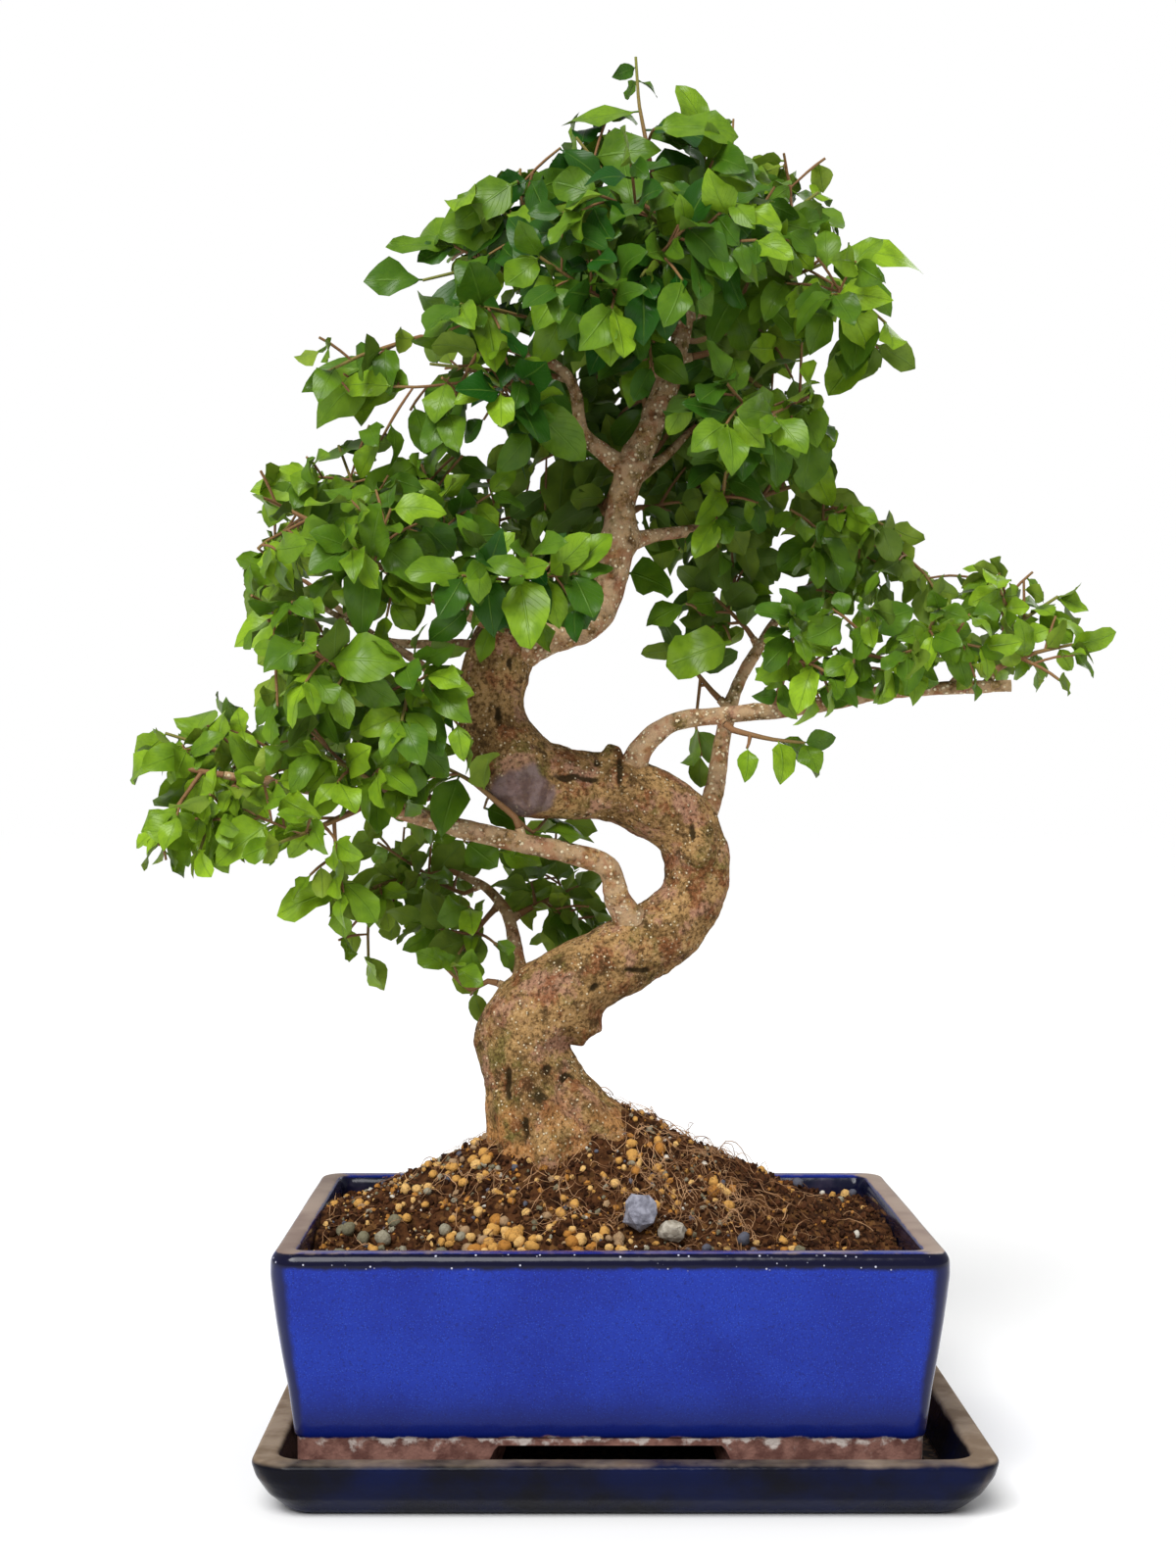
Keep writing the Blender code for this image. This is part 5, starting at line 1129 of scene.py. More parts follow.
healed = bark.span(bark.sum(bark.attribute("scar"), bark.times(bark.cloud(180, 3), 0.5)), 0.50, 1.00)
purple = bark.mix(bark.patches(200, 0.38, 0.62, 5), (0.110, 0.068, 0.066), (0.215, 0.152, 0.150))
skin = bark.tint(skin, healed, 0.85, purple)
# Dead bark and painted shade: the hollows are painted near black.
dead_and_shaded = bark.span(bark.sum(bark.attribute("hollow"), bark.times(bark.cloud(450, 5), 0.7)), 0.50, 1.15)
skin = bark.tint(skin, dead_and_shaded, 0.94, (0.026, 0.017, 0.006))
old_pores = bark.times(bark.dots(560, 0.32, 0.16), bark.chosen(560, 0.52, 0.54))
young_pores = bark.times(bark.dots(400, 0.34, 0.20), bark.chosen(400, 0.40, 0.42))
pores = bark.math("MAXIMUM", bark.times(old_pores, bark.patches(55, 0.40, 0.54, 3)),
                  bark.times(young_pores, young))
bark.paint(bark.tint(skin, pores, 0.88, (0.860, 0.720, 0.480)))
bark.gloss(healed, 0.88, 0.5)
coarse = bark.bump(bark.cloud(230, 6, 0.68), 0.0020)
bark.bump(pores, 0.0004, coarse)


def plain_bark(count):
    """Attributes of younger and paler bark, without scars and hollows."""
    return {"scar": np.zeros(count), "hollow": np.zeros(count), "young": np.ones(count)}


add_piece("trunk_bark", *closed_grid(trunk_rings), [bark.material], "bark", ["trunk"], crease=80,
          scar=scar, hollow=hollow, young=0 * scar)
limb_look = plain_bark(len(limb_points))
root_points = sum(len(grid) * len(grid[0]) for grid in limb_grids[-len(SURFACE_ROOTS):])
limb_look["young"][-root_points:] = 0
add_piece("limb_bark", limb_points, limb_faces, [bark.material], "bark", crease=80, **limb_look)

# %% [markdown]
# ## Growing the shoots
#
# A shoot is a few twigs, and its leaves stand in pairs along them. Nothing may pass through anything else, so
# every twig and every leaf is tried in a few ways and kept where it is clear of all that stands already. A
# search tree of triangles answers that quickly. Each twig and leaf draws from a random stream named after it,
# so that a change in one place leaves all the others as they are.

# %% Values of the growth rules
SEAT_GAP = 0.0003       # between a piece and what carries it
LEAF_GUARD = 0.0007     # how much a leaf is fattened while a free place is sought for it
LEAF_LENGTH = {
    "left_low": 0.0255, "left_back": 0.025, "trunk": 0.024, "left_mid_low": 0.027, "left_mid": 0.027,
    "left_mid_high": 0.028, "stump_back": 0.027, "crown_left": 0.029, "leader": 0.030, "right_low": 0.022,
    "right_back": 0.024, "right_mid": 0.026, "right_stub": 0.026,
}
TOP_SHOOT, TOP_LEAF_LENGTH = "shoot_leader_13", 0.012
LEAF_GROWTH = (0.85, 1.18)      # a leaf's length as a share of its place's
LEAF_SLENDER = (0.50, 0.62)     # width as a share of length
LEAF_FOLD = (0.15, 0.50)        # rise of the rim over the midrib, as a share of half the width
LEAF_DROOP = (0.02, 0.22)       # sag of the tip, as a share of length
LEAF_HANG = (0.35, 0.95)        # how much a leaf grows downwards
LEAF_THICK = 0.0010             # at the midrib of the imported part's plain leaf
END_SPREAD, SIDE_SPREAD = (22, 45), (42, 75)    # a leaf's spread from its twig in degrees
LOOK_UP, LOOK_OUT, LOOK_SIDE = 0.55, 0.45, 0.75
LOOSE, LOOSER = 0.42, 0.10
LARGE_LOOK, LARGE_FOLD, LARGE_DROOP = (0.0, -0.85, 0.55), 0.25, 0.08
RIM = ((0.38, 0.88), (0.70, 0.78), (1.0, 0.0), (0.70, -0.78), (0.38, -0.88))
LEAF_FOOT = ((0.87, 0.5), (-0.87, 0.5), (0.0, -1.0))
LEAF_FOOT_RADIUS, KEEL = 0.00058, 0.45
LEAF_PLACES = ((0, -1), (0, 1), (1, -1), (1, 1), (2, -1), (2, 1))
STALK_SHARE = 0.15      # the part of a leaf that may lie close to its own twig
PAIR_SPACING = 0.47     # of a leaf's length
PAIR_LENGTHS = (0.74, 1.0, 0.95)
TWIG_STEP, TWIG_TRIES, LEAF_TRIES = 0.030, 14, 12
BAND, SAME_BAND, MATE_TURN = 0.0014, 0.0022, 0.3
TWIG_END, TWIG_TAPER, TWIG_BOW, TWIG_SWERVE = 0.00062, 0.7, 0.12, 0.0028
STEM_SHARE, STEM_MOST, STEM_LEAD = 0.6, 0.0016, 0.004
SPUR_LEAN, SPUR_SPREAD, SPUR_CLEAR = 0.55, 1.25, 0.0012
FORK_RANGE, FORK_TURN, FORK_SHARE, FORK_LEAN, FORK_APART = (0.22, 0.74), 0.5, 0.8, 0.6, 0.0035
BARE_START = (0.0035, 0.0035, 0.014)    # bare length at a twig's start that each pair of leaves needs
PLAIN_LEAF = [(1, 0, 5), (0, 3, 5), (3, 4, 5), (1, 5, 7), (5, 6, 7)]
UNDER_LEAF = [(0, 3, 8), (3, 4, 8), (4, 5, 8), (5, 6, 8), (6, 7, 8), (7, 1, 8), (1, 2, 8), (2, 0, 8)]
GUARD_LEAF = UNDER_LEAF + [(1, 0, 9), (0, 3, 9), (3, 4, 9), (4, 5, 9), (5, 6, 9), (6, 7, 9), (7, 1, 9)]
print("leaf lengths:", min(LEAF_LENGTH.values()), "to", max(LEAF_LENGTH.values()), "m")


# %% Space: what stands already
def runs(path):
    """Distance along a path to each of its points."""
    return np.concatenate([[0.0], np.cumsum(np.linalg.norm(np.diff(path[:, :3], axis=0), axis=1))])


def along(path, distance):
    run = runs(path)
    return np.array([np.interp(distance, run, path[:, k]) for k in range(path.shape[1])])


def heading_at(path, distance):
    return unit((along(path, distance + 0.002) - along(path, distance - 0.002))[:3])


def tree_of(points, faces):
    return BVHTree.FromPolygons([tuple(p) for p in points], [tuple(f) for f in faces])


def shell(path, sides):
    """A closed tube round a path as points and a plain list of faces."""
    points, (cells, ends) = closed_grid(tube(path, sides))
    return points, [tuple(ends[0])] + [tuple(cell) for cell in cells] + [tuple(ends[1][::-1])]


class Space:
    """What has been placed so far, kept as search trees, so that the next piece can be put clear of it."""

    def __init__(self):
        self.trees = []
        self.owners = []
        self.spheres = np.empty((0, 4))

    def add(self, owner, points, faces):
        centre = np.mean(points, axis=0)
        reach = np.linalg.norm(points - centre, axis=1).max()
        self.trees.append(tree_of(points, faces))
        self.owners.append(owner)
        self.spheres = np.vstack([self.spheres, [*centre, reach]])

    def crossed(self, points, faces, own=()):
        """Whether these faces meet anything placed, other than what belongs to own."""
        centre = np.mean(points, axis=0)
        reach = np.linalg.norm(points - centre, axis=1).max()
        apart = np.linalg.norm(self.spheres[:, :3] - centre, axis=1)
        near = np.nonzero(apart < self.spheres[:, 3] + reach)[0]
        tested = tree_of(points, faces)
        return any(self.owners[k] not in own and self.trees[k].overlap(tested) for k in near)


# %% Twigs
def shoot_seat(host, share, target):
    """Start, direction and radius of a shoot, and the spur on the limb that it grows from, if any."""
    distance = share * runs(host)[-1]
    point, forward = along(host, distance), heading_at(host, distance)
    if share > 0.999:
        return point[:3] + forward * SEAT_GAP, forward, point[3], None
    toward = unit(np.asarray(target) - point[:3])
    side = toward - np.dot(toward, forward) * forward
    out = unit(unit(side) + SPUR_LEAN * np.sign(np.dot(toward, forward)) * forward)
    radius = min(point[3] * STEM_SHARE, STEM_MOST)
    sine = np.linalg.norm(np.cross(out, forward))
    length = (point[3] + SPUR_CLEAR + radius * abs(np.dot(out, forward))) / sine
    spur = np.array([[*point[:3], radius * SPUR_SPREAD], [*(point[:3] + out * length), radius]])
    return point[:3] + out * (length + SEAT_GAP), out, radius, spur


def twig_path(start, out, radius, stem, tip, bend, lead):
    """A twig's centre line with its radius: straight out, through its stem's points, bowed, to its tip."""
    knots = [start, start + out * lead] if lead else [start]
    if stem:
        knots += [np.array(point, float) for point in stem]
    else:
        knots.append((start + tip) / 2 + out * TWIG_BOW * np.linalg.norm(tip - start))
    knots[-1] = knots[-1] + bend
    path = spline(knots + [np.array(tip, float)], TWIG_STEP)
    share = runs(path) / runs(path)[-1]
    return np.column_stack([path, radius + (TWIG_END - radius) * share ** TWIG_TAPER])


def free_twig(space, node, key, start, out, radius, stem, tip, lead):
    """The first way to bow the twig that leaves it clear of everything outside its own shoot."""
    draw = random.Random(key)
    for attempt in range(TWIG_TRIES):
        bend = np.array([draw.gauss(0, 1) for _ in range(3)]) * TWIG_SWERVE * attempt
        path = twig_path(start, out, radius, stem, np.asarray(tip, float), bend, lead)
        beyond_seat = path[1:] if lead else path
        if not space.crossed(*shell(beyond_seat + [0.0, 0.0, 0.0, LEAF_GUARD], 4), own=(node,)):
            return path
    return None


def branch_point(twigs, tip):
    """Where a further twig leaves the shoot: near its tip, with the least turn and apart from other forks."""
    best = None
    for path in twigs:
        length = runs(path)[-1]
        for share in np.linspace(*FORK_RANGE, 9):
            point = along(path, share * length)
            forward = heading_at(path, share * length)
            to = np.asarray(tip) - point[:3]
            cost = np.linalg.norm(to) * (1 + FORK_TURN - FORK_TURN * np.dot(unit(to), forward))
            apart = min(np.linalg.norm(point[:3] - other[0, :3]) for other in twigs)
            if apart > FORK_APART and (best is None or cost < best[0]):
                best = (cost, point, forward)
    _, point, forward = best
    return point[:3], unit(unit(np.asarray(tip) - point[:3]) + FORK_LEAN * forward), point[3]


def grow_twigs(space, node, host, share, stem, tips):
    """Twigs of one shoot, as paths: its stem to the first tip, then one to each other tip."""
    start, out, radius, _ = shoot_seat(host, share, (stem or tips)[0])
    twigs, lead = [], STEM_LEAD
    for number, tip in enumerate(tips):
        if number:
            start, out, radius = branch_point(twigs, tip)
            radius, stem, lead = max(radius * FORK_SHARE, TWIG_END), [], 0.0
        path = free_twig(space, node, f"{node}/{number}", start, out, radius, stem, tip, lead)
        if path is not None:
            twigs.append(path)
            space.add(node, *shell(path, 4))
    return twigs


# %% Leaves
def leaf_frame(path, distance, side, end, draw, attempt):
    """Root of a leaf's stalk, the direction it grows in and the way its face looks."""
    point = along(path, distance)[:3]
    forward = heading_at(path, distance)
    outward = unit([point[0] - 0.005, point[1] * 1.2, 0.0])
    front = -1.0 if point[1] < 0.012 else 1.0
    loose = (LOOSE + LOOSER * attempt) * np.array([draw.gauss(0, 1) for _ in range(3)])
    face = unit(LOOK_UP * UP + LOOK_OUT * outward + (0, LOOK_SIDE * front, 0) + loose)
    across = unit(np.cross(forward, face)) * side
    spread = math.radians(draw.uniform(*END_SPREAD) if end else draw.uniform(*SIDE_SPREAD))
    grow = unit(math.cos(spread) * forward + math.sin(spread) * across - draw.uniform(*LEAF_HANG) * UP)
    return point, grow, unit(face - np.dot(face, grow) * grow)


def make_leaf(path, distance, side, end, length, attempt, draw):
    """One leaf at a distance along its twig."""
    root, grow, face = leaf_frame(path, distance, side, end, draw, attempt)
    length = length * draw.uniform(*LEAF_GROWTH)
    width = length * draw.uniform(*LEAF_SLENDER)
    return {"root": root, "grow": grow, "face": face, "length": length, "width": width, "distance": distance,
            "fold": draw.uniform(*LEAF_FOLD), "droop": draw.uniform(*LEAF_DROOP)}


def plain_points(leaf, guard=0.0, start=0.0):
    """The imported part's plain leaf: a folded blade on a three-sided foot at a share start of its length."""
    grow, face, length = leaf["grow"], leaf["face"], leaf["length"]
    across = np.cross(face, grow)
    half = leaf["width"] / 2 + guard
    thin = LEAF_FOOT_RADIUS + guard / 2
    wide = thin + half * RIM[0][1] * start / RIM[0][0]

    def place(u, v):
        rise = leaf["fold"] * half * abs(v) - leaf["droop"] * length * u * u
        return leaf["root"] + grow * length * u + across * half * v + face * rise

    low = leaf["root"] + grow * length * start
    foot = [low + across * wide * a + face * thin * b for a, b in LEAF_FOOT]
    rim = [place(u, v) for u, v in RIM]
    keel = (1 - KEEL) * np.mean(foot[:2], axis=0) + KEEL * rim[2] - face * (LEAF_THICK + guard)
    return np.array(foot + rim + [keel])


def leaf_guard(leaf, start):
    """A fattened leaf, from a share start of its length on, for testing where it fits."""
    points = plain_points(leaf, LEAF_GUARD, start)
    arch = leaf["droop"] * leaf["length"] * KEEL * KEEL
    over = points[8] + leaf["face"] * (LEAF_THICK + 2 * LEAF_GUARD + arch)
    return np.vstack([points, [over]]), GUARD_LEAF


def leaf_fits(space, node, leaf):
    """Whether a leaf is clear of other shoots and the wood, and its blade of its own shoot as well."""
    whole, blade = leaf_guard(leaf, 0.0), leaf_guard(leaf, STALK_SHARE)
    if space.crossed(*whole, own=(node, node + " leaf", node + " blade")):
        return False
    return not space.crossed(*blade, own=(node + " leaf",))


def keep_leaf(space, node, own, leaf):
    """Adds a leaf to those of its twig, and to the space both whole and without its foot."""
    own.append(leaf)
    space.add(node + " leaf", plain_points(leaf), PLAIN_LEAF + UNDER_LEAF)
    space.add(node + " blade", plain_points(leaf, 0.0, STALK_SHARE), PLAIN_LEAF + UNDER_LEAF)


def sideways(path, leaf):
    """The way that a leaf leaves its twig, seen along the twig."""
    forward = heading_at(path, leaf["distance"])
    return unit(leaf["grow"] - np.dot(leaf["grow"], forward) * forward)


def free_leaf(space, node, key, path, own, rank, side, length):
    """The first way to hold a leaf that keeps it clear of all that is placed, if its twig is long enough."""
    draw = random.Random(key)
    distance = runs(path)[-1] - BAND / 2 - rank * PAIR_SPACING * length
    mates = [sideways(path, other) for other in own if abs(other["distance"] - distance) < SAME_BAND]
    for attempt in range(LEAF_TRIES if distance > BARE_START[rank] else 0):
        leaf = make_leaf(path, distance, side, rank == 0, length * PAIR_LENGTHS[rank], attempt, draw)
        turned = all(np.dot(mate, sideways(path, leaf)) < MATE_TURN for mate in mates)
        if turned and leaf_fits(space, node, leaf):
            return leaf
    return None


def large_leaf(twigs, root, tip, width):
    """The twig that passes nearest, and a leaf of a chosen size from there to a chosen point."""
    best = None
    for number, path in enumerate(twigs):
        for distance in np.arange(BAND * 2, runs(path)[-1], 0.001):
            apart = np.linalg.norm(along(path, distance)[:3] - root)
            if best is None or apart < best[0]:
                best = (apart, number, distance)
    _, number, distance = best
    distance = min(distance, runs(twigs[number])[-1] - BAND / 2)
    root = along(twigs[number], distance)[:3]
    grow = unit(np.asarray(tip) - root)
    face = unit(np.array(LARGE_LOOK) - np.dot(LARGE_LOOK, grow) * grow)
    leaf = {"root": root, "grow": grow, "face": face, "width": width, "distance": distance}
    leaf.update(length=np.linalg.norm(np.asarray(tip) - root), fold=LARGE_FOLD, droop=LARGE_DROOP)
    return number, leaf


# %% The wood that the shoots keep clear of
space = Space()
flare_turn = np.linspace(0, 2 * math.pi, 20, endpoint=False)
flare_reach = FLARE[:, 2:] * (1 + lobes(flare_turn))
flare_rings = np.stack([FLARE[:, 1:2] + flare_reach * np.cos(flare_turn), flare_reach * np.sin(flare_turn),
                        FLARE[:, :1] + 0 * flare_reach], axis=-1)
wood_shells = [shell(spline(TRUNK, 0.012), 12)]
wood_shells += [shell(spline(knots, 0.022), 6) for knots in LIMBS.values()]
wood_shells += [shell(spline(knots, 0.022), 5) for knots in SURFACE_ROOTS]
for centre, facing, radius, rise in KNOTS:
    foot = np.array([*centre, radius * 1.10])
    end = np.array([*(np.array(centre) + unit(facing) * rise), radius * 0.72])
    wood_shells.append(shell(np.array([foot, foot * 0.25 + end * 0.75, end]), 6))
hosts = {"trunk": spline(TRUNK, 0.003), **{name: spline(knots, 0.003) for name, knots in LIMBS.items()}}
spurs = [shoot_seat(hosts[limb], share, (stem or tips)[0])[3] for _, limb, share, stem, tips in ROWS]
spurs = [spur for spur in spurs if spur is not None]
wood_shells += [shell(spur, 3) for spur in spurs]
flare_points, (flare_cells, flare_ends) = closed_grid(flare_rings)
space.add("trunk", flare_points, [tuple(c) for c in flare_cells] + [tuple(c) for c in flare_ends])
for points, faces in wood_shells:
    space.add("trunk", points, faces)
print("wood shapes:", len(space.trees))



# %% Twigs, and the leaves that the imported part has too
def add_leaf(node, twig, rank, side, length):
    """One more leaf at its place on a twig, if there is a free way to hold it."""
    path, own = twigs[node][twig], leaves[node][twig]
    leaf = free_leaf(space, node, f"{node}/{twig}/{rank}/{side}", path, own, rank, side, length)
    if leaf is not None:
        keep_leaf(space, node, own, leaf)


twigs = {node: grow_twigs(space, node, hosts[limb], *row) for node, limb, *row in ROWS}
leaves = {node: [[] for _ in twigs[node]] for node in twigs}
for node, chosen in LARGE_LEAVES.items():
    for root, tip, width in chosen:
        twig, leaf = large_leaf(twigs[node], root, tip, width)
        if leaf_fits(space, node, leaf):
            keep_leaf(space, node, leaves[node][twig], leaf)
large = {(node, twig) for node in leaves for twig, own in enumerate(leaves[node]) if own}
for rank, side in LEAF_PLACES:
    for node, limb, *_ in ROWS:
        length = TOP_LEAF_LENGTH if node == TOP_SHOOT else LEAF_LENGTH[limb]
        for twig in range(len(twigs[node])):
            if rank or (node, twig) not in large:
                add_leaf(node, twig, rank, side, length)
packed_leaves = sum(len(own) for shoot in leaves.values() for own in shoot)
print("twigs:", sum(map(len, twigs.values())), "leaves of the packed part:", packed_leaves)

# %% [markdown]
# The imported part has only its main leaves, because each adds to its count of triangles. Here the crown fills
# up. The leader gets five small shoots on its back, most twigs get short side twigs, and then all of them get
# more pairs further back and single leaves between the pairs, a little smaller, wherever there is room.

# %% Further leaves
FURTHER = ((0.0, 1), (0.0, -1), (0.6, 1), (0.6, -1), (1.5, -1), (1.5, 1), (2.5, 1), (2.5, -1), (3.0, 1),
           (3.0, -1), (3.6, -1), (3.6, 1), (4.3, 1), (4.3, -1), (5.0, 1), (5.0, -1))
FURTHER_LENGTH, FURTHER_GROWTH = 0.84, (0.6, 1.0)       # shares of a leaf's length
FURTHER_START = 0.004       # bare length at a twig's start
FURTHER_TRIES, FURTHER_LOOSE = 9, 3     # tries, and how many steps looser than other leaves they start
SLIM_GUARD = 0.0002
SIDE_TWIGS = (0.30, 0.50, 0.70)         # where they leave their twig, as a share of its length
SIDE_TWIG_LENGTH = (0.45, 0.75)         # as a share of a leaf's length
SIDE_TWIG_TRIES = 5
NO_FURTHER = (TOP_SHOOT, "shoot_right_back_3", "shoot_right_low_6", "shoot_left_low_7")
KEPT_CLEAR = (-0.052, -0.020, 0.252, 0.284)     # X and Z in front of the large scar: no further leaf here
# Small shoots on the back of the leader: share of its length, twig tips
BACK_SHOOTS = metres([
    (0.44, [(-12, 34, 412), (-24, 40, 428), (-6, 48, 440), (-30, 30, 408)]),
    (0.54, [(12, 44, 454), (30, 52, 460), (46, 40, 436)]),
    (0.36, [(34, 36, 388), (50, 40, 400), (46, 46, 376)]),
    (0.48, [(38, 30, 420), (58, 46, 428), (30, 58, 408)]),
    (0.4, [(-14, 36, 392), (-30, 44, 396), (-20, 52, 374)]),
])
BACK_ROWS = [(f"shoot_back_{number}", "leader", share, [], tips)
             for number, (share, tips) in enumerate(BACK_SHOOTS, start=1)]


def side_twig(space, node, path, share, length):
    """A short twig to one side of another, bowed upwards a little, if there is room for it."""
    draw = random.Random(f"{node}/{len(path)}/{path[-1][0]:.4f}/{share}")
    distance = share * runs(path)[-1]
    point, forward = along(path, distance), heading_at(path, distance)
    for _ in range(SIDE_TWIG_TRIES):
        loose = np.array([draw.gauss(0, 1) for _ in range(3)])
        out = unit(loose - np.dot(loose, forward) * forward)
        reach = (out + 0.6 * forward) * length * draw.uniform(*SIDE_TWIG_LENGTH)
        start = point[:3] + out * (point[3] * 0.6)
        knots = np.array([start, start + reach * 0.5 + UP * 0.001, start + reach])
        made = spline(np.column_stack([knots, [point[3] * 0.75, TWIG_END, TWIG_END * 0.8]]), 0.006)
        if not space.crossed(*shell(made[1:], 4), own=(node,)):
            return made
    return None


def hides_scar(leaf):
    """Whether a leaf's middle lies in front of the large scar."""
    x, y, z = leaf["root"] + leaf["grow"] * leaf["length"] * 0.55
    low_x, high_x, low_z, high_z = KEPT_CLEAR
    return y < 0 and low_x < x < high_x and low_z < z < high_z


for node, limb, share, stem, tips in BACK_ROWS:
    spur = shoot_seat(hosts[limb], share, tips[0])[3]
    spurs.append(spur)
    space.add("trunk", *shell(spur, 3))
    twigs[node] = grow_twigs(space, node, hosts[limb], share, stem, tips)
    leaves[node] = [[] for _ in twigs[node]]
    for rank, side in LEAF_PLACES:
        for twig in range(len(twigs[node])):
            add_leaf(node, twig, rank, side, LEAF_LENGTH[limb])
ALL_ROWS = ROWS + BACK_ROWS
for node, limb, *_ in ALL_ROWS:
    for path in list(twigs[node]) if node not in NO_FURTHER else []:
        for share in SIDE_TWIGS:
            made = side_twig(space, node, path, share, LEAF_LENGTH[limb])
            if made is not None:
                twigs[node].append(made)
                leaves[node].append([])
                space.add(node, *shell(made, 4))
print("twigs with the side twigs:", sum(map(len, twigs.values())))


def slim_leaf_fits(leaf, node):
    """Whether the blade of a further leaf is clear of everything, with less room round it."""
    points = plain_points(leaf, SLIM_GUARD, STALK_SHARE)
    over = points[8] + leaf["face"] * (LEAF_THICK + leaf["droop"] * leaf["length"] * KEEL * KEEL)
    return not space.crossed(np.vstack([points, [over]]), GUARD_LEAF, own=(node + " leaf",))


for place, side in FURTHER:
    for node, limb, *_ in ALL_ROWS:
        length = LEAF_LENGTH[limb] * FURTHER_LENGTH
        for twig, (path, own) in enumerate(zip(twigs[node], leaves[node]) if node not in NO_FURTHER else ()):
            distance = runs(path)[-1] - BAND / 2 - place * PAIR_SPACING * length
            draw = random.Random(f"{node}/{twig}/{place}/{side}/further")
            for attempt in range(FURTHER_TRIES if distance > FURTHER_START else 0):
                size = length * draw.uniform(*FURTHER_GROWTH)
                leaf = make_leaf(path, distance, side, place == 0, size, attempt + FURTHER_LOOSE, draw)
                if slim_leaf_fits(leaf, node) and not hides_scar(leaf):
                    own.append(leaf)
                    space.add(node + " blade", plain_points(leaf, 0.0, STALK_SHARE), PLAIN_LEAF + UNDER_LEAF)
                    break
all_leaves = sum(len(own) for shoot in leaves.values() for own in shoot)
print("leaves in all:", all_leaves)

# %% [markdown]
# The real crown isn't closed: light shows through it in many places, and its outline is notched. A leaf that
# the camera would see across one of the larger gaps is taken out again, and so is a twig that is left without
# leaves there. The other bare twigs are cut back to their last leaf or fork.

# %% Gaps in the crown
# In millimetres on the upright plane through the pot's middle: X, Z, radius
GAPS = np.array([
    (77, 554, 18), (94, 548, 18), (107, 535, 18), (150, 484, 18), (136, 471, 18), (-131, 465, 18), (119, 424, 18),
    (-165, 383, 18), (192, 291, 18), (142, 384, 18), (-157, 405, 18), (-71, 174, 17), (-36, 550, 15), (72, 272, 14),
    (-113, 466, 14), (-202, 299, 13), (-131, 414, 13), (-121, 197, 13), (-21, 561, 13), (-160, 348, 13),
    (-213, 290, 12), (94, 289, 12), (-65, 529, 12), (110, 397, 12), (-188, 304, 11), (173, 301, 11),
    (-210, 275, 11), (105, 516, 10), (121, 390, 10), (176, 365, 10), (-84, 426, 10), (-152, 318, 10), (58, 553, 9),
    (-80, 188, 9), (-72, 511, 8), (186, 361, 8), (-161, 326, 8), (-129, 428, 8), (139, 366, 8), (-182, 230, 8),
    (98, 396, 8), (-29, 536, 8), (-160, 361, 8), (63, 541, 7), (-147, 378, 7), (-117, 418, 7), (-48, 412, 7),
    (58, 273, 7), (-137, 232, 7), (-95, 202, 7), (-22, 532, 7), (21, 313, 7), (-79, 435, 7), (-109, 423, 7),
    (100, 426, 7), (81, 536, 7), (-99, 459, 7), (-87, 467, 6), (73, 535, 6), (89, 530, 6), (-57, 269, 6),
    (20, 568, 6), (127, 455, 6), (28, 311, 6), (-69, 481, 7), (-25, 399, 6), (90, 483, 7), (-70, 440, 7),
    (-46, 197, 6), (-191, 268, 6), (87, 289, 7), (-110, 404, 7), (-89, 252, 6), (-121, 238, 6), (-61, 446, 6),
    (-52, 426, 6), (-78, 424, 6), (-109, 253, 6), (-54, 525, 6), (76, 388, 5), (-54, 409, 5), (-198, 233, 6),
    (97, 459, 6), (-91, 404, 6), (-138, 315, 5), (-82, 446, 6), (72, 435, 5), (-42, 432, 5), (-60, 268, 5),
]) * 0.001
GAP_MARGIN = 0.001
LEAF_PARTS = np.array([0.5, 0.65, 0.85])[:, None]       # shares of a leaf's length that are tested
FORK_NEAR, FORK_OWN = 0.003, 0.001      # a twig forks from another that is this near, but not from itself


def across_gap(points):
    """Whether one of some points lies on a line from the camera through a gap."""
    eye_x, eye_y, eye_z = CAMERA_PLACE
    nearer = eye_y / (eye_y - points[:, 1:2])
    seen = [eye_x, eye_z] + (points[:, [0, 2]] - [eye_x, eye_z]) * nearer
    return bool((np.linalg.norm(seen[:, None] - GAPS[:, :2], axis=-1) < GAPS[:, 2] + GAP_MARGIN).any())


def fine_path(path, spacing=0.002):
    """A path at even and close steps. Its corners are rounded, so that its leaves still stand on it."""
    length = runs(path)[-1]
    fine = along(path, np.linspace(0, length, max(int(length / spacing), 4))).T
    fine[1:-1] = (fine[:-2] + 2 * fine[1:-1] + fine[2:]) / 4
    return fine


def cut_back(path, own, starts):
    """A twig as far as its last leaf and the last twig that forks from it."""
    last = max((leaf["distance"] for leaf in own), default=0.0)
    apart = np.linalg.norm(path[:, None, :3] - starts, axis=-1)
    forks = apart.argmin(axis=0)[(apart.min(axis=0) < FORK_NEAR) & (apart[0] > FORK_OWN)]
    return path[:max(np.searchsorted(runs(path), last) + 2, forks.max(initial=0) + 2, 4)]


for node in leaves:
    twigs[node] = [fine_path(path) for path in twigs[node]]
    stay = [[leaf for leaf in own
             if not across_gap(leaf["root"] + leaf["grow"] * leaf["length"] * LEAF_PARTS)]
            for own in leaves[node]]
    if any(stay):
        lost = [len(own) < len(before) for own, before in zip(stay, leaves[node])]
        kept = [k for k, own in enumerate(stay) if own or not across_gap(twigs[node][k][-1:, :3])]
        leaves[node] = [stay[k] for k in kept]
        twigs[node] = [twigs[node][k] for k in kept]
        starts = np.array([path[0, :3] for path in twigs[node]])
        for k, path in enumerate(twigs[node]):
            if across_gap(path[-1:, :3]) or lost[kept[k]] or not leaves[node][k]:
                twigs[node][k] = cut_back(path, leaves[node][k], starts)
print("leaves that stay:", sum(len(own) for shoot in leaves.values() for own in shoot))

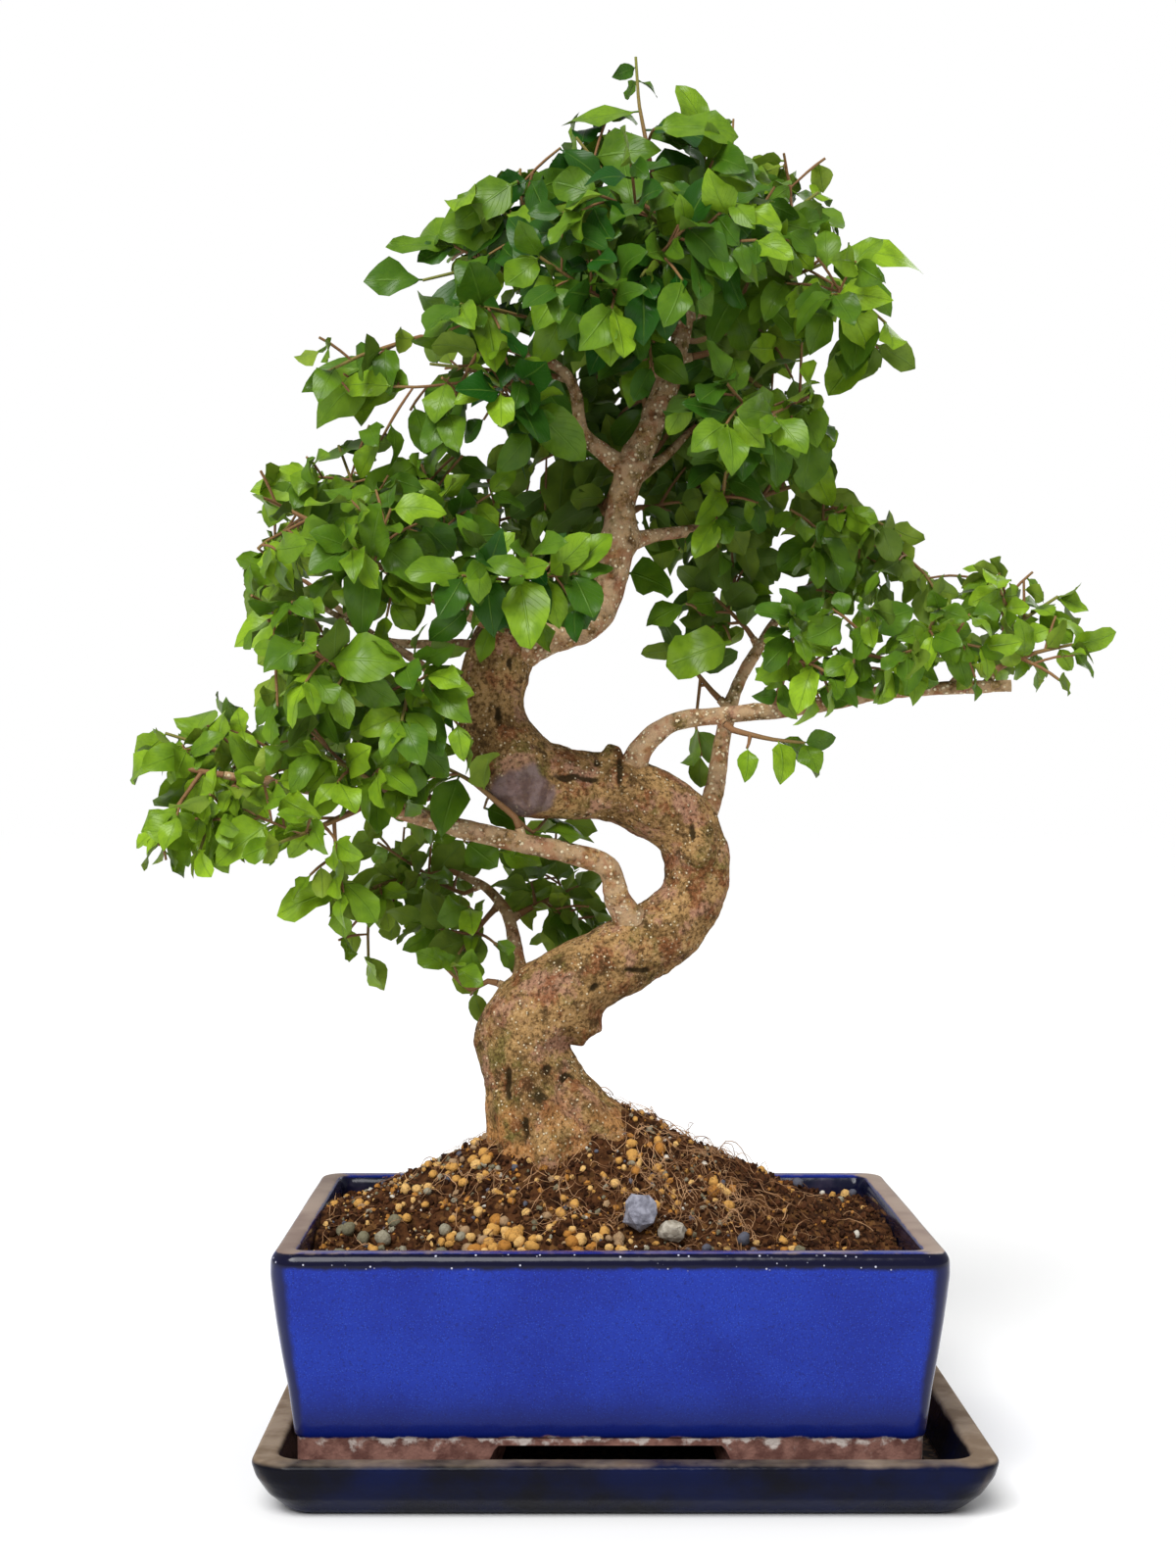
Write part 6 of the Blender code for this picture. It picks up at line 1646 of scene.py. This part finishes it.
# %% [markdown]
# A few single leaves stand out at the left and in the window below the crown. Each has a place of its own,
# and a short twig leads to it from the nearest one.

# %% Leaves that stand out
# In millimetres: stalk's root, leaf's tip, and the width in the first place of the third row
SINGLE_LEAVES = np.array([
    [(-94, -25, 445), (-125, -31, 432), (13, 0, 0)], [(-90, -30, 438), (-118, -36, 419), (15, 0, 0)],
    [(-82, -25, 435), (-99, -31, 420), (11, 0, 0)], [(-88, -20, 410), (-116, -26, 403), (13, 0, 0)],
    [(-55, -25, 433), (-71, -31, 412), (17, 0, 0)], [(-113, -15, 393), (-144, -21, 388), (13, 0, 0)],
    [(-129, -30, 354), (-147, -36, 361), (18, 0, 0)], [(-124, -30, 339), (-149, -36, 330), (14, 0, 0)],
    [(53, 20, 332), (26, 14, 322), (19, 0, 0)], [(-39, -25, 497), (-68, -31, 490), (19, 0, 0)],
    [(9, 21, 361), (30, 22, 357), (18, 0, 0)], [(34, 22, 348), (17, 20, 340), (12, 0, 0)],
    [(31, 24, 371), (14, 22, 377), (14, 0, 0)], [(-58, 2, 248), (-45, -2, 238), (14, 0, 0)],
    [(-50, 0, 262), (-32, -4, 256), (13, 0, 0)], [(-44, 4, 244), (-27, 0, 241), (12, 0, 0)],
    [(19, -28, 533), (52, -32, 536), (19, 0, 0)], [(-36, -32, 511), (-61, -36, 494), (19, 0, 0)],
]) * 0.001
DEPTH_SHARE = 0.3       # how much a step in depth counts when the nearest twig is sought
NO_STEM = 0.004         # a leaf that is no further from a twig sits on it
FINE_SIZE = 0.92        # a fine leaf's size as a share of the plain one's in its place


def nearest_twig(foot):
    """Shoot, number and point of the twig that passes nearest to a place, seen mostly from the front."""
    best = (math.inf, None, None, None)
    for node, paths in twigs.items():
        for k, path in enumerate(paths):
            apart = np.linalg.norm((path[:, :3] - foot) * [1, DEPTH_SHARE, 1], axis=1)
            if apart.min() < best[0]:
                best = (apart.min(), node, k, int(apart.argmin()))
    return best


for foot, tip, (width, _, _) in SINGLE_LEAVES:
    apart, node, k, spot = nearest_twig(foot)
    start = twigs[node][k][spot]
    if apart > NO_STEM:
        middle = (start[:3] + foot) / 2 + UP * 0.0015
        stem = [[*start[:3], start[3] * 0.7], [*middle, TWIG_END], [*foot, TWIG_END * 0.8]]
        twigs[node].append(spline(stem, 0.002))
        leaves[node].append([])
        k = -1
    else:
        foot, tip = start[:3], tip + start[:3] - foot
    grow = unit(tip - foot)
    leaves[node][k].append({
        "root": foot, "grow": grow, "face": unit(np.array(LARGE_LOOK) - np.dot(LARGE_LOOK, grow) * grow),
        "length": np.linalg.norm(tip - foot) / FINE_SIZE, "width": width / FINE_SIZE, "distance": 0.0,
        "fold": LARGE_FOLD, "droop": LARGE_DROOP,
    })
    print("single leaf on", node, "reached by", round(apart * 1000), "mm")

# %% [markdown]
# ## Fine leaves
#
# A privet leaf is a pointed oval with a short stalk. Its two halves rise a little from the midrib, its rim
# waves and its tip bends down. Each leaf is a flattened tube: eight points round, carried along nine
# stations, so it has a real if tiny thickness. All leaves of a shoot are worked out in one array.

# %% Leaf shape
STATIONS = np.array([0.0, 0.09, 0.15, 0.26, 0.41, 0.58, 0.75, 0.90, 1.0])
HALF_WIDTHS = np.array([0.07, 0.07, 0.40, 0.80, 1.03, 1.06, 0.90, 0.52, 0.03])
ROUND_V = np.array([-1.0, -0.52, 0.0, 0.52, 1.0, 0.52, 0.0, -0.52])     # place across the blade
ROUND_T = np.array([0.0, 0.8, 1.0, 0.8, 0.0, -0.8, -1.0, -0.8])         # above or below its middle
BLADE_THICK = 0.00038
STALK_THICK = 0.00085


def fine_leaves(chosen, draw):
    """Points of many leaves, leaves by stations by round: the plain leaf's frame, an oval and some waves."""
    def column(key):
        return np.array([leaf[key] for leaf in chosen])

    grow, face = column("grow"), column("face")
    across = np.cross(face, grow)
    length, half = column("length")[:, None, None] * FINE_SIZE, column("width")[:, None, None] / 2 * FINE_SIZE
    fold, droop = column("fold")[:, None, None], column("droop")[:, None, None]
    phase = draw.uniform(0, 2 * math.pi, (len(chosen), 4, 1, 1))
    u = STATIONS[:, None]
    slender = 1 - draw.uniform(-0.10, 0.35, (len(chosen), 1, 1)) * np.clip(2 * u - 0.9, 0, 1)
    v = ROUND_V * HALF_WIDTHS[:, None] * slender
    v = v * (1 + 0.09 * np.sin(6 * u + phase[:, 2]) + 0.07 * np.sin(4 * u + phase[:, 3]) * np.sign(v))
    wave = 0.31 * np.sin(8 * u + phase[:, 0]) * np.sign(v) + 0.14 * np.sin(11 * u + phase[:, 1])
    swing = draw.normal(0, 0.06, (len(chosen), 1, 1)) * length * u ** 2
    curl = (draw.uniform(0, 0.6, (len(chosen), 1, 1)) ** 2 - 0.02) * length * u ** 3
    twist = draw.normal(0, 0.42, (len(chosen), 1, 1)) * half * v * u
    thick = np.where(u < 0.12, STALK_THICK, BLADE_THICK * (1.2 - u)) / 2
    lift = fold * half * (np.abs(v) - 0.35 * v ** 2) * np.minimum(1, 3 * u) - droop * length * u * u
    lift = lift + wave * half * np.abs(v) + ROUND_T * thick - curl + twist
    reach = length * u * (1 - 0.25 * droop * u)
    spots = (column("root")[:, None, None] + grow[:, None, None] * reach[..., None]
             + across[:, None, None] * (half * v + swing)[..., None] + face[:, None, None] * lift[..., None])
    return spots, np.broadcast_to(u, spots.shape[:3]), np.broadcast_to(ROUND_V, spots.shape[:3])


def halves(cells):
    """Both triangles of each cell, split from its first corner to its third."""
    return cells[:, [0, 1, 2, 0, 2, 3]].reshape(-1, 3)


# The blade is thinner than its waves are high. So the cells of its two sides are split along the same lines,
# or the underside would come through the face.
leaf_cells = grid_cells(len(STATIONS), len(ROUND_V))
under_cell = np.isin(leaf_cells[:, 0] % len(ROUND_V), (4, 5, 6, 7))
top_faces, under_faces = halves(leaf_cells[~under_cell]), halves(np.roll(leaf_cells[under_cell], -1, axis=1))
end_faces = np.stack([np.arange(8)[::-1], leaf_cells.max() - 7 + np.arange(8)])
print("triangles in one leaf:", len(top_faces) + len(under_faces) + 12)

# %% [markdown]
# The leaf's face is a glossy mid green, deeper or more yellow from leaf to leaf, with a pale midrib and faint
# side veins. Light also comes through a thin blade from behind, so the shader is a mix of a glossy one and a
# translucent one. The underside is paler and duller. Veins follow the leaf, so they read its UV map.


# %% Leaf finishes
def leaf_finish(name, rough, through, deep, fresh, rib):
    """A green from deep to fresh by the leaf's own number, veins by UV, and some light through."""
    made = Finish(name, Roughness=rough, Specular_IOR_Level=0.24)
    blade_map = made.node("ShaderNodeUVMap", uv_map="blade").outputs[0]
    u, v, _ = made.node("ShaderNodeSeparateXYZ", {0: blade_map}).outputs
    off = made.math("ABSOLUTE", made.sum(v, -0.5))
    green = made.mix(made.attribute("fresh"), deep, fresh)
    green = made.tint(green, made.patches(160, 0.35, 0.7, 3), 0.35, deep)
    slant = made.sum(made.times(u, 9.0), made.times(off, -7.0))
    side_veins = made.times(made.span(made.math("PINGPONG", slant, 0.5), 0.06, 0.0), 0.30)
    lines = made.math("MAXIMUM", side_veins, made.span(off, 0.035, 0.010))
    green = made.tint(green, lines, 0.40, rib)
    made.paint(green)
    made.bump(lines, -0.00025)
    glow = made.node("ShaderNodeBsdfTranslucent", {"Color": made.mix(0.35, green, (0.22, 0.36, 0.02))})
    both = made.node("ShaderNodeMixShader", {0: through, 1: made.shader.outputs[0], 2: glow.outputs[0]})
    made.tree.links.new(both.outputs[0], made.tree.nodes["Material Output"].inputs["Surface"])
    return made.material


blade_top = leaf_finish("leaf_face", 0.28, 0.28, (0.014, 0.088, 0.008), (0.330, 0.540, 0.024),
                        (0.180, 0.340, 0.040))
blade_under = leaf_finish("leaf_back", 0.50, 0.32, (0.070, 0.150, 0.020), (0.360, 0.500, 0.045),
                          (0.220, 0.350, 0.080))
twig_finish = Finish("young_twigs", Roughness=0.6, Specular_IOR_Level=0.15)
rind = twig_finish.mix(twig_finish.attribute("fresh"), (0.230, 0.115, 0.050), (0.190, 0.200, 0.040))
twig_finish.paint(twig_finish.mix(twig_finish.dots(1300, 0.24, 0.10), rind, (0.300, 0.230, 0.150)))
twig_finish.bump(twig_finish.cloud(900, 3), 0.0003)
print("leaf finishes ready")

# %% Shoots
TWIG_SIDES = 6
CROWN_X = -0.005
OUTER_FROM, OUTER_LIT = (0.035, 0.080, 0.180), (0.0, 0.22, 0.42)      # the outer leaves are painted paler and yellower, as light on them
LOW_FROM, LOW_BACKLIT = (0.240, 0.300), (0.30, 0.0)       # and the lowest ones too, as light through them from behind
draw = np.random.default_rng(5)
for node, *_ in ALL_ROWS:
    chosen = [leaf for own in leaves[node] for leaf in own]
    blades, u, v = fine_leaves(chosen, draw)
    first = (np.arange(len(chosen)) * blades.shape[1] * blades.shape[2])[:, None, None]
    points = [blades.reshape(-1, 3)]
    faces = [(some + first).reshape(-1, some.shape[1]) for some in (top_faces, end_faces, under_faces)]
    outer = np.array([abs(leaf["root"][0] - CROWN_X) for leaf in chosen])
    low = np.array([leaf["root"][2] for leaf in chosen])
    # Painted light and shade: on top of each leaf's random tone, leaves far from the crown's middle and the lowest
    # ones are made paler and yellower, as lit, and those in the middle stay deep green, as shade.
    fresh_and_lit_leaf = 0.88 * draw.beta(0.8, 1.7, len(chosen)) + np.interp(outer, OUTER_FROM, OUTER_LIT)
    fresh_and_lit_leaf = np.clip(fresh_and_lit_leaf + np.interp(low, LOW_FROM, LOW_BACKLIT), 0, 1)
    fresh = [np.repeat(fresh_and_lit_leaf, blades.shape[1] * blades.shape[2])]
    slots = [0] * (len(faces[0]) + len(faces[1])) + [1] * len(faces[2])
    count = len(points[0])
    for path in twigs[node]:
        fine = np.vstack([path[:-1:2], path[-1:]])
        rings = tube(fine, TWIG_SIDES)
        own, cells = closed_grid(rings)
        points.append(own)
        faces += [rows + count for rows in cells]
        slots += [2] * sum(len(rows) for rows in cells)
        fresh.append(np.repeat(np.clip(runs(fine) / 0.05, 0, 1) ** 2, TWIG_SIDES))
        count += len(own)
    piece = add_piece("leafy_" + node.removeprefix("shoot_"), np.vstack(points), faces,
                      [blade_top, blade_under, twig_finish.material], "leaf",
                      [node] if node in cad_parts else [], crease=75, fresh=np.concatenate(fresh))
    mesh = piece.data
    mesh.polygons.foreach_set("material_index", np.array(slots, np.int32))
    spots = np.full((len(mesh.vertices), 2), 0.5, np.float32)
    spots[:u.size, 0], spots[:v.size, 1] = u.ravel(), v.ravel() / 2 + 0.5
    corner = np.empty(len(mesh.loops), np.int32)
    mesh.loops.foreach_get("vertex_index", corner)
    mesh.uv_layers.new(name="blade").data.foreach_set("uv", spots[corner].ravel())

# %% Spurs
spur_points, spur_faces = join_grids([limb_rings(spur, 10, 0.0012, 0.8, 1.35) for spur in spurs])
add_piece("spur_bark", spur_points, spur_faces, [bark.material], "bark", crease=80,
          **plain_bark(len(spur_points)))
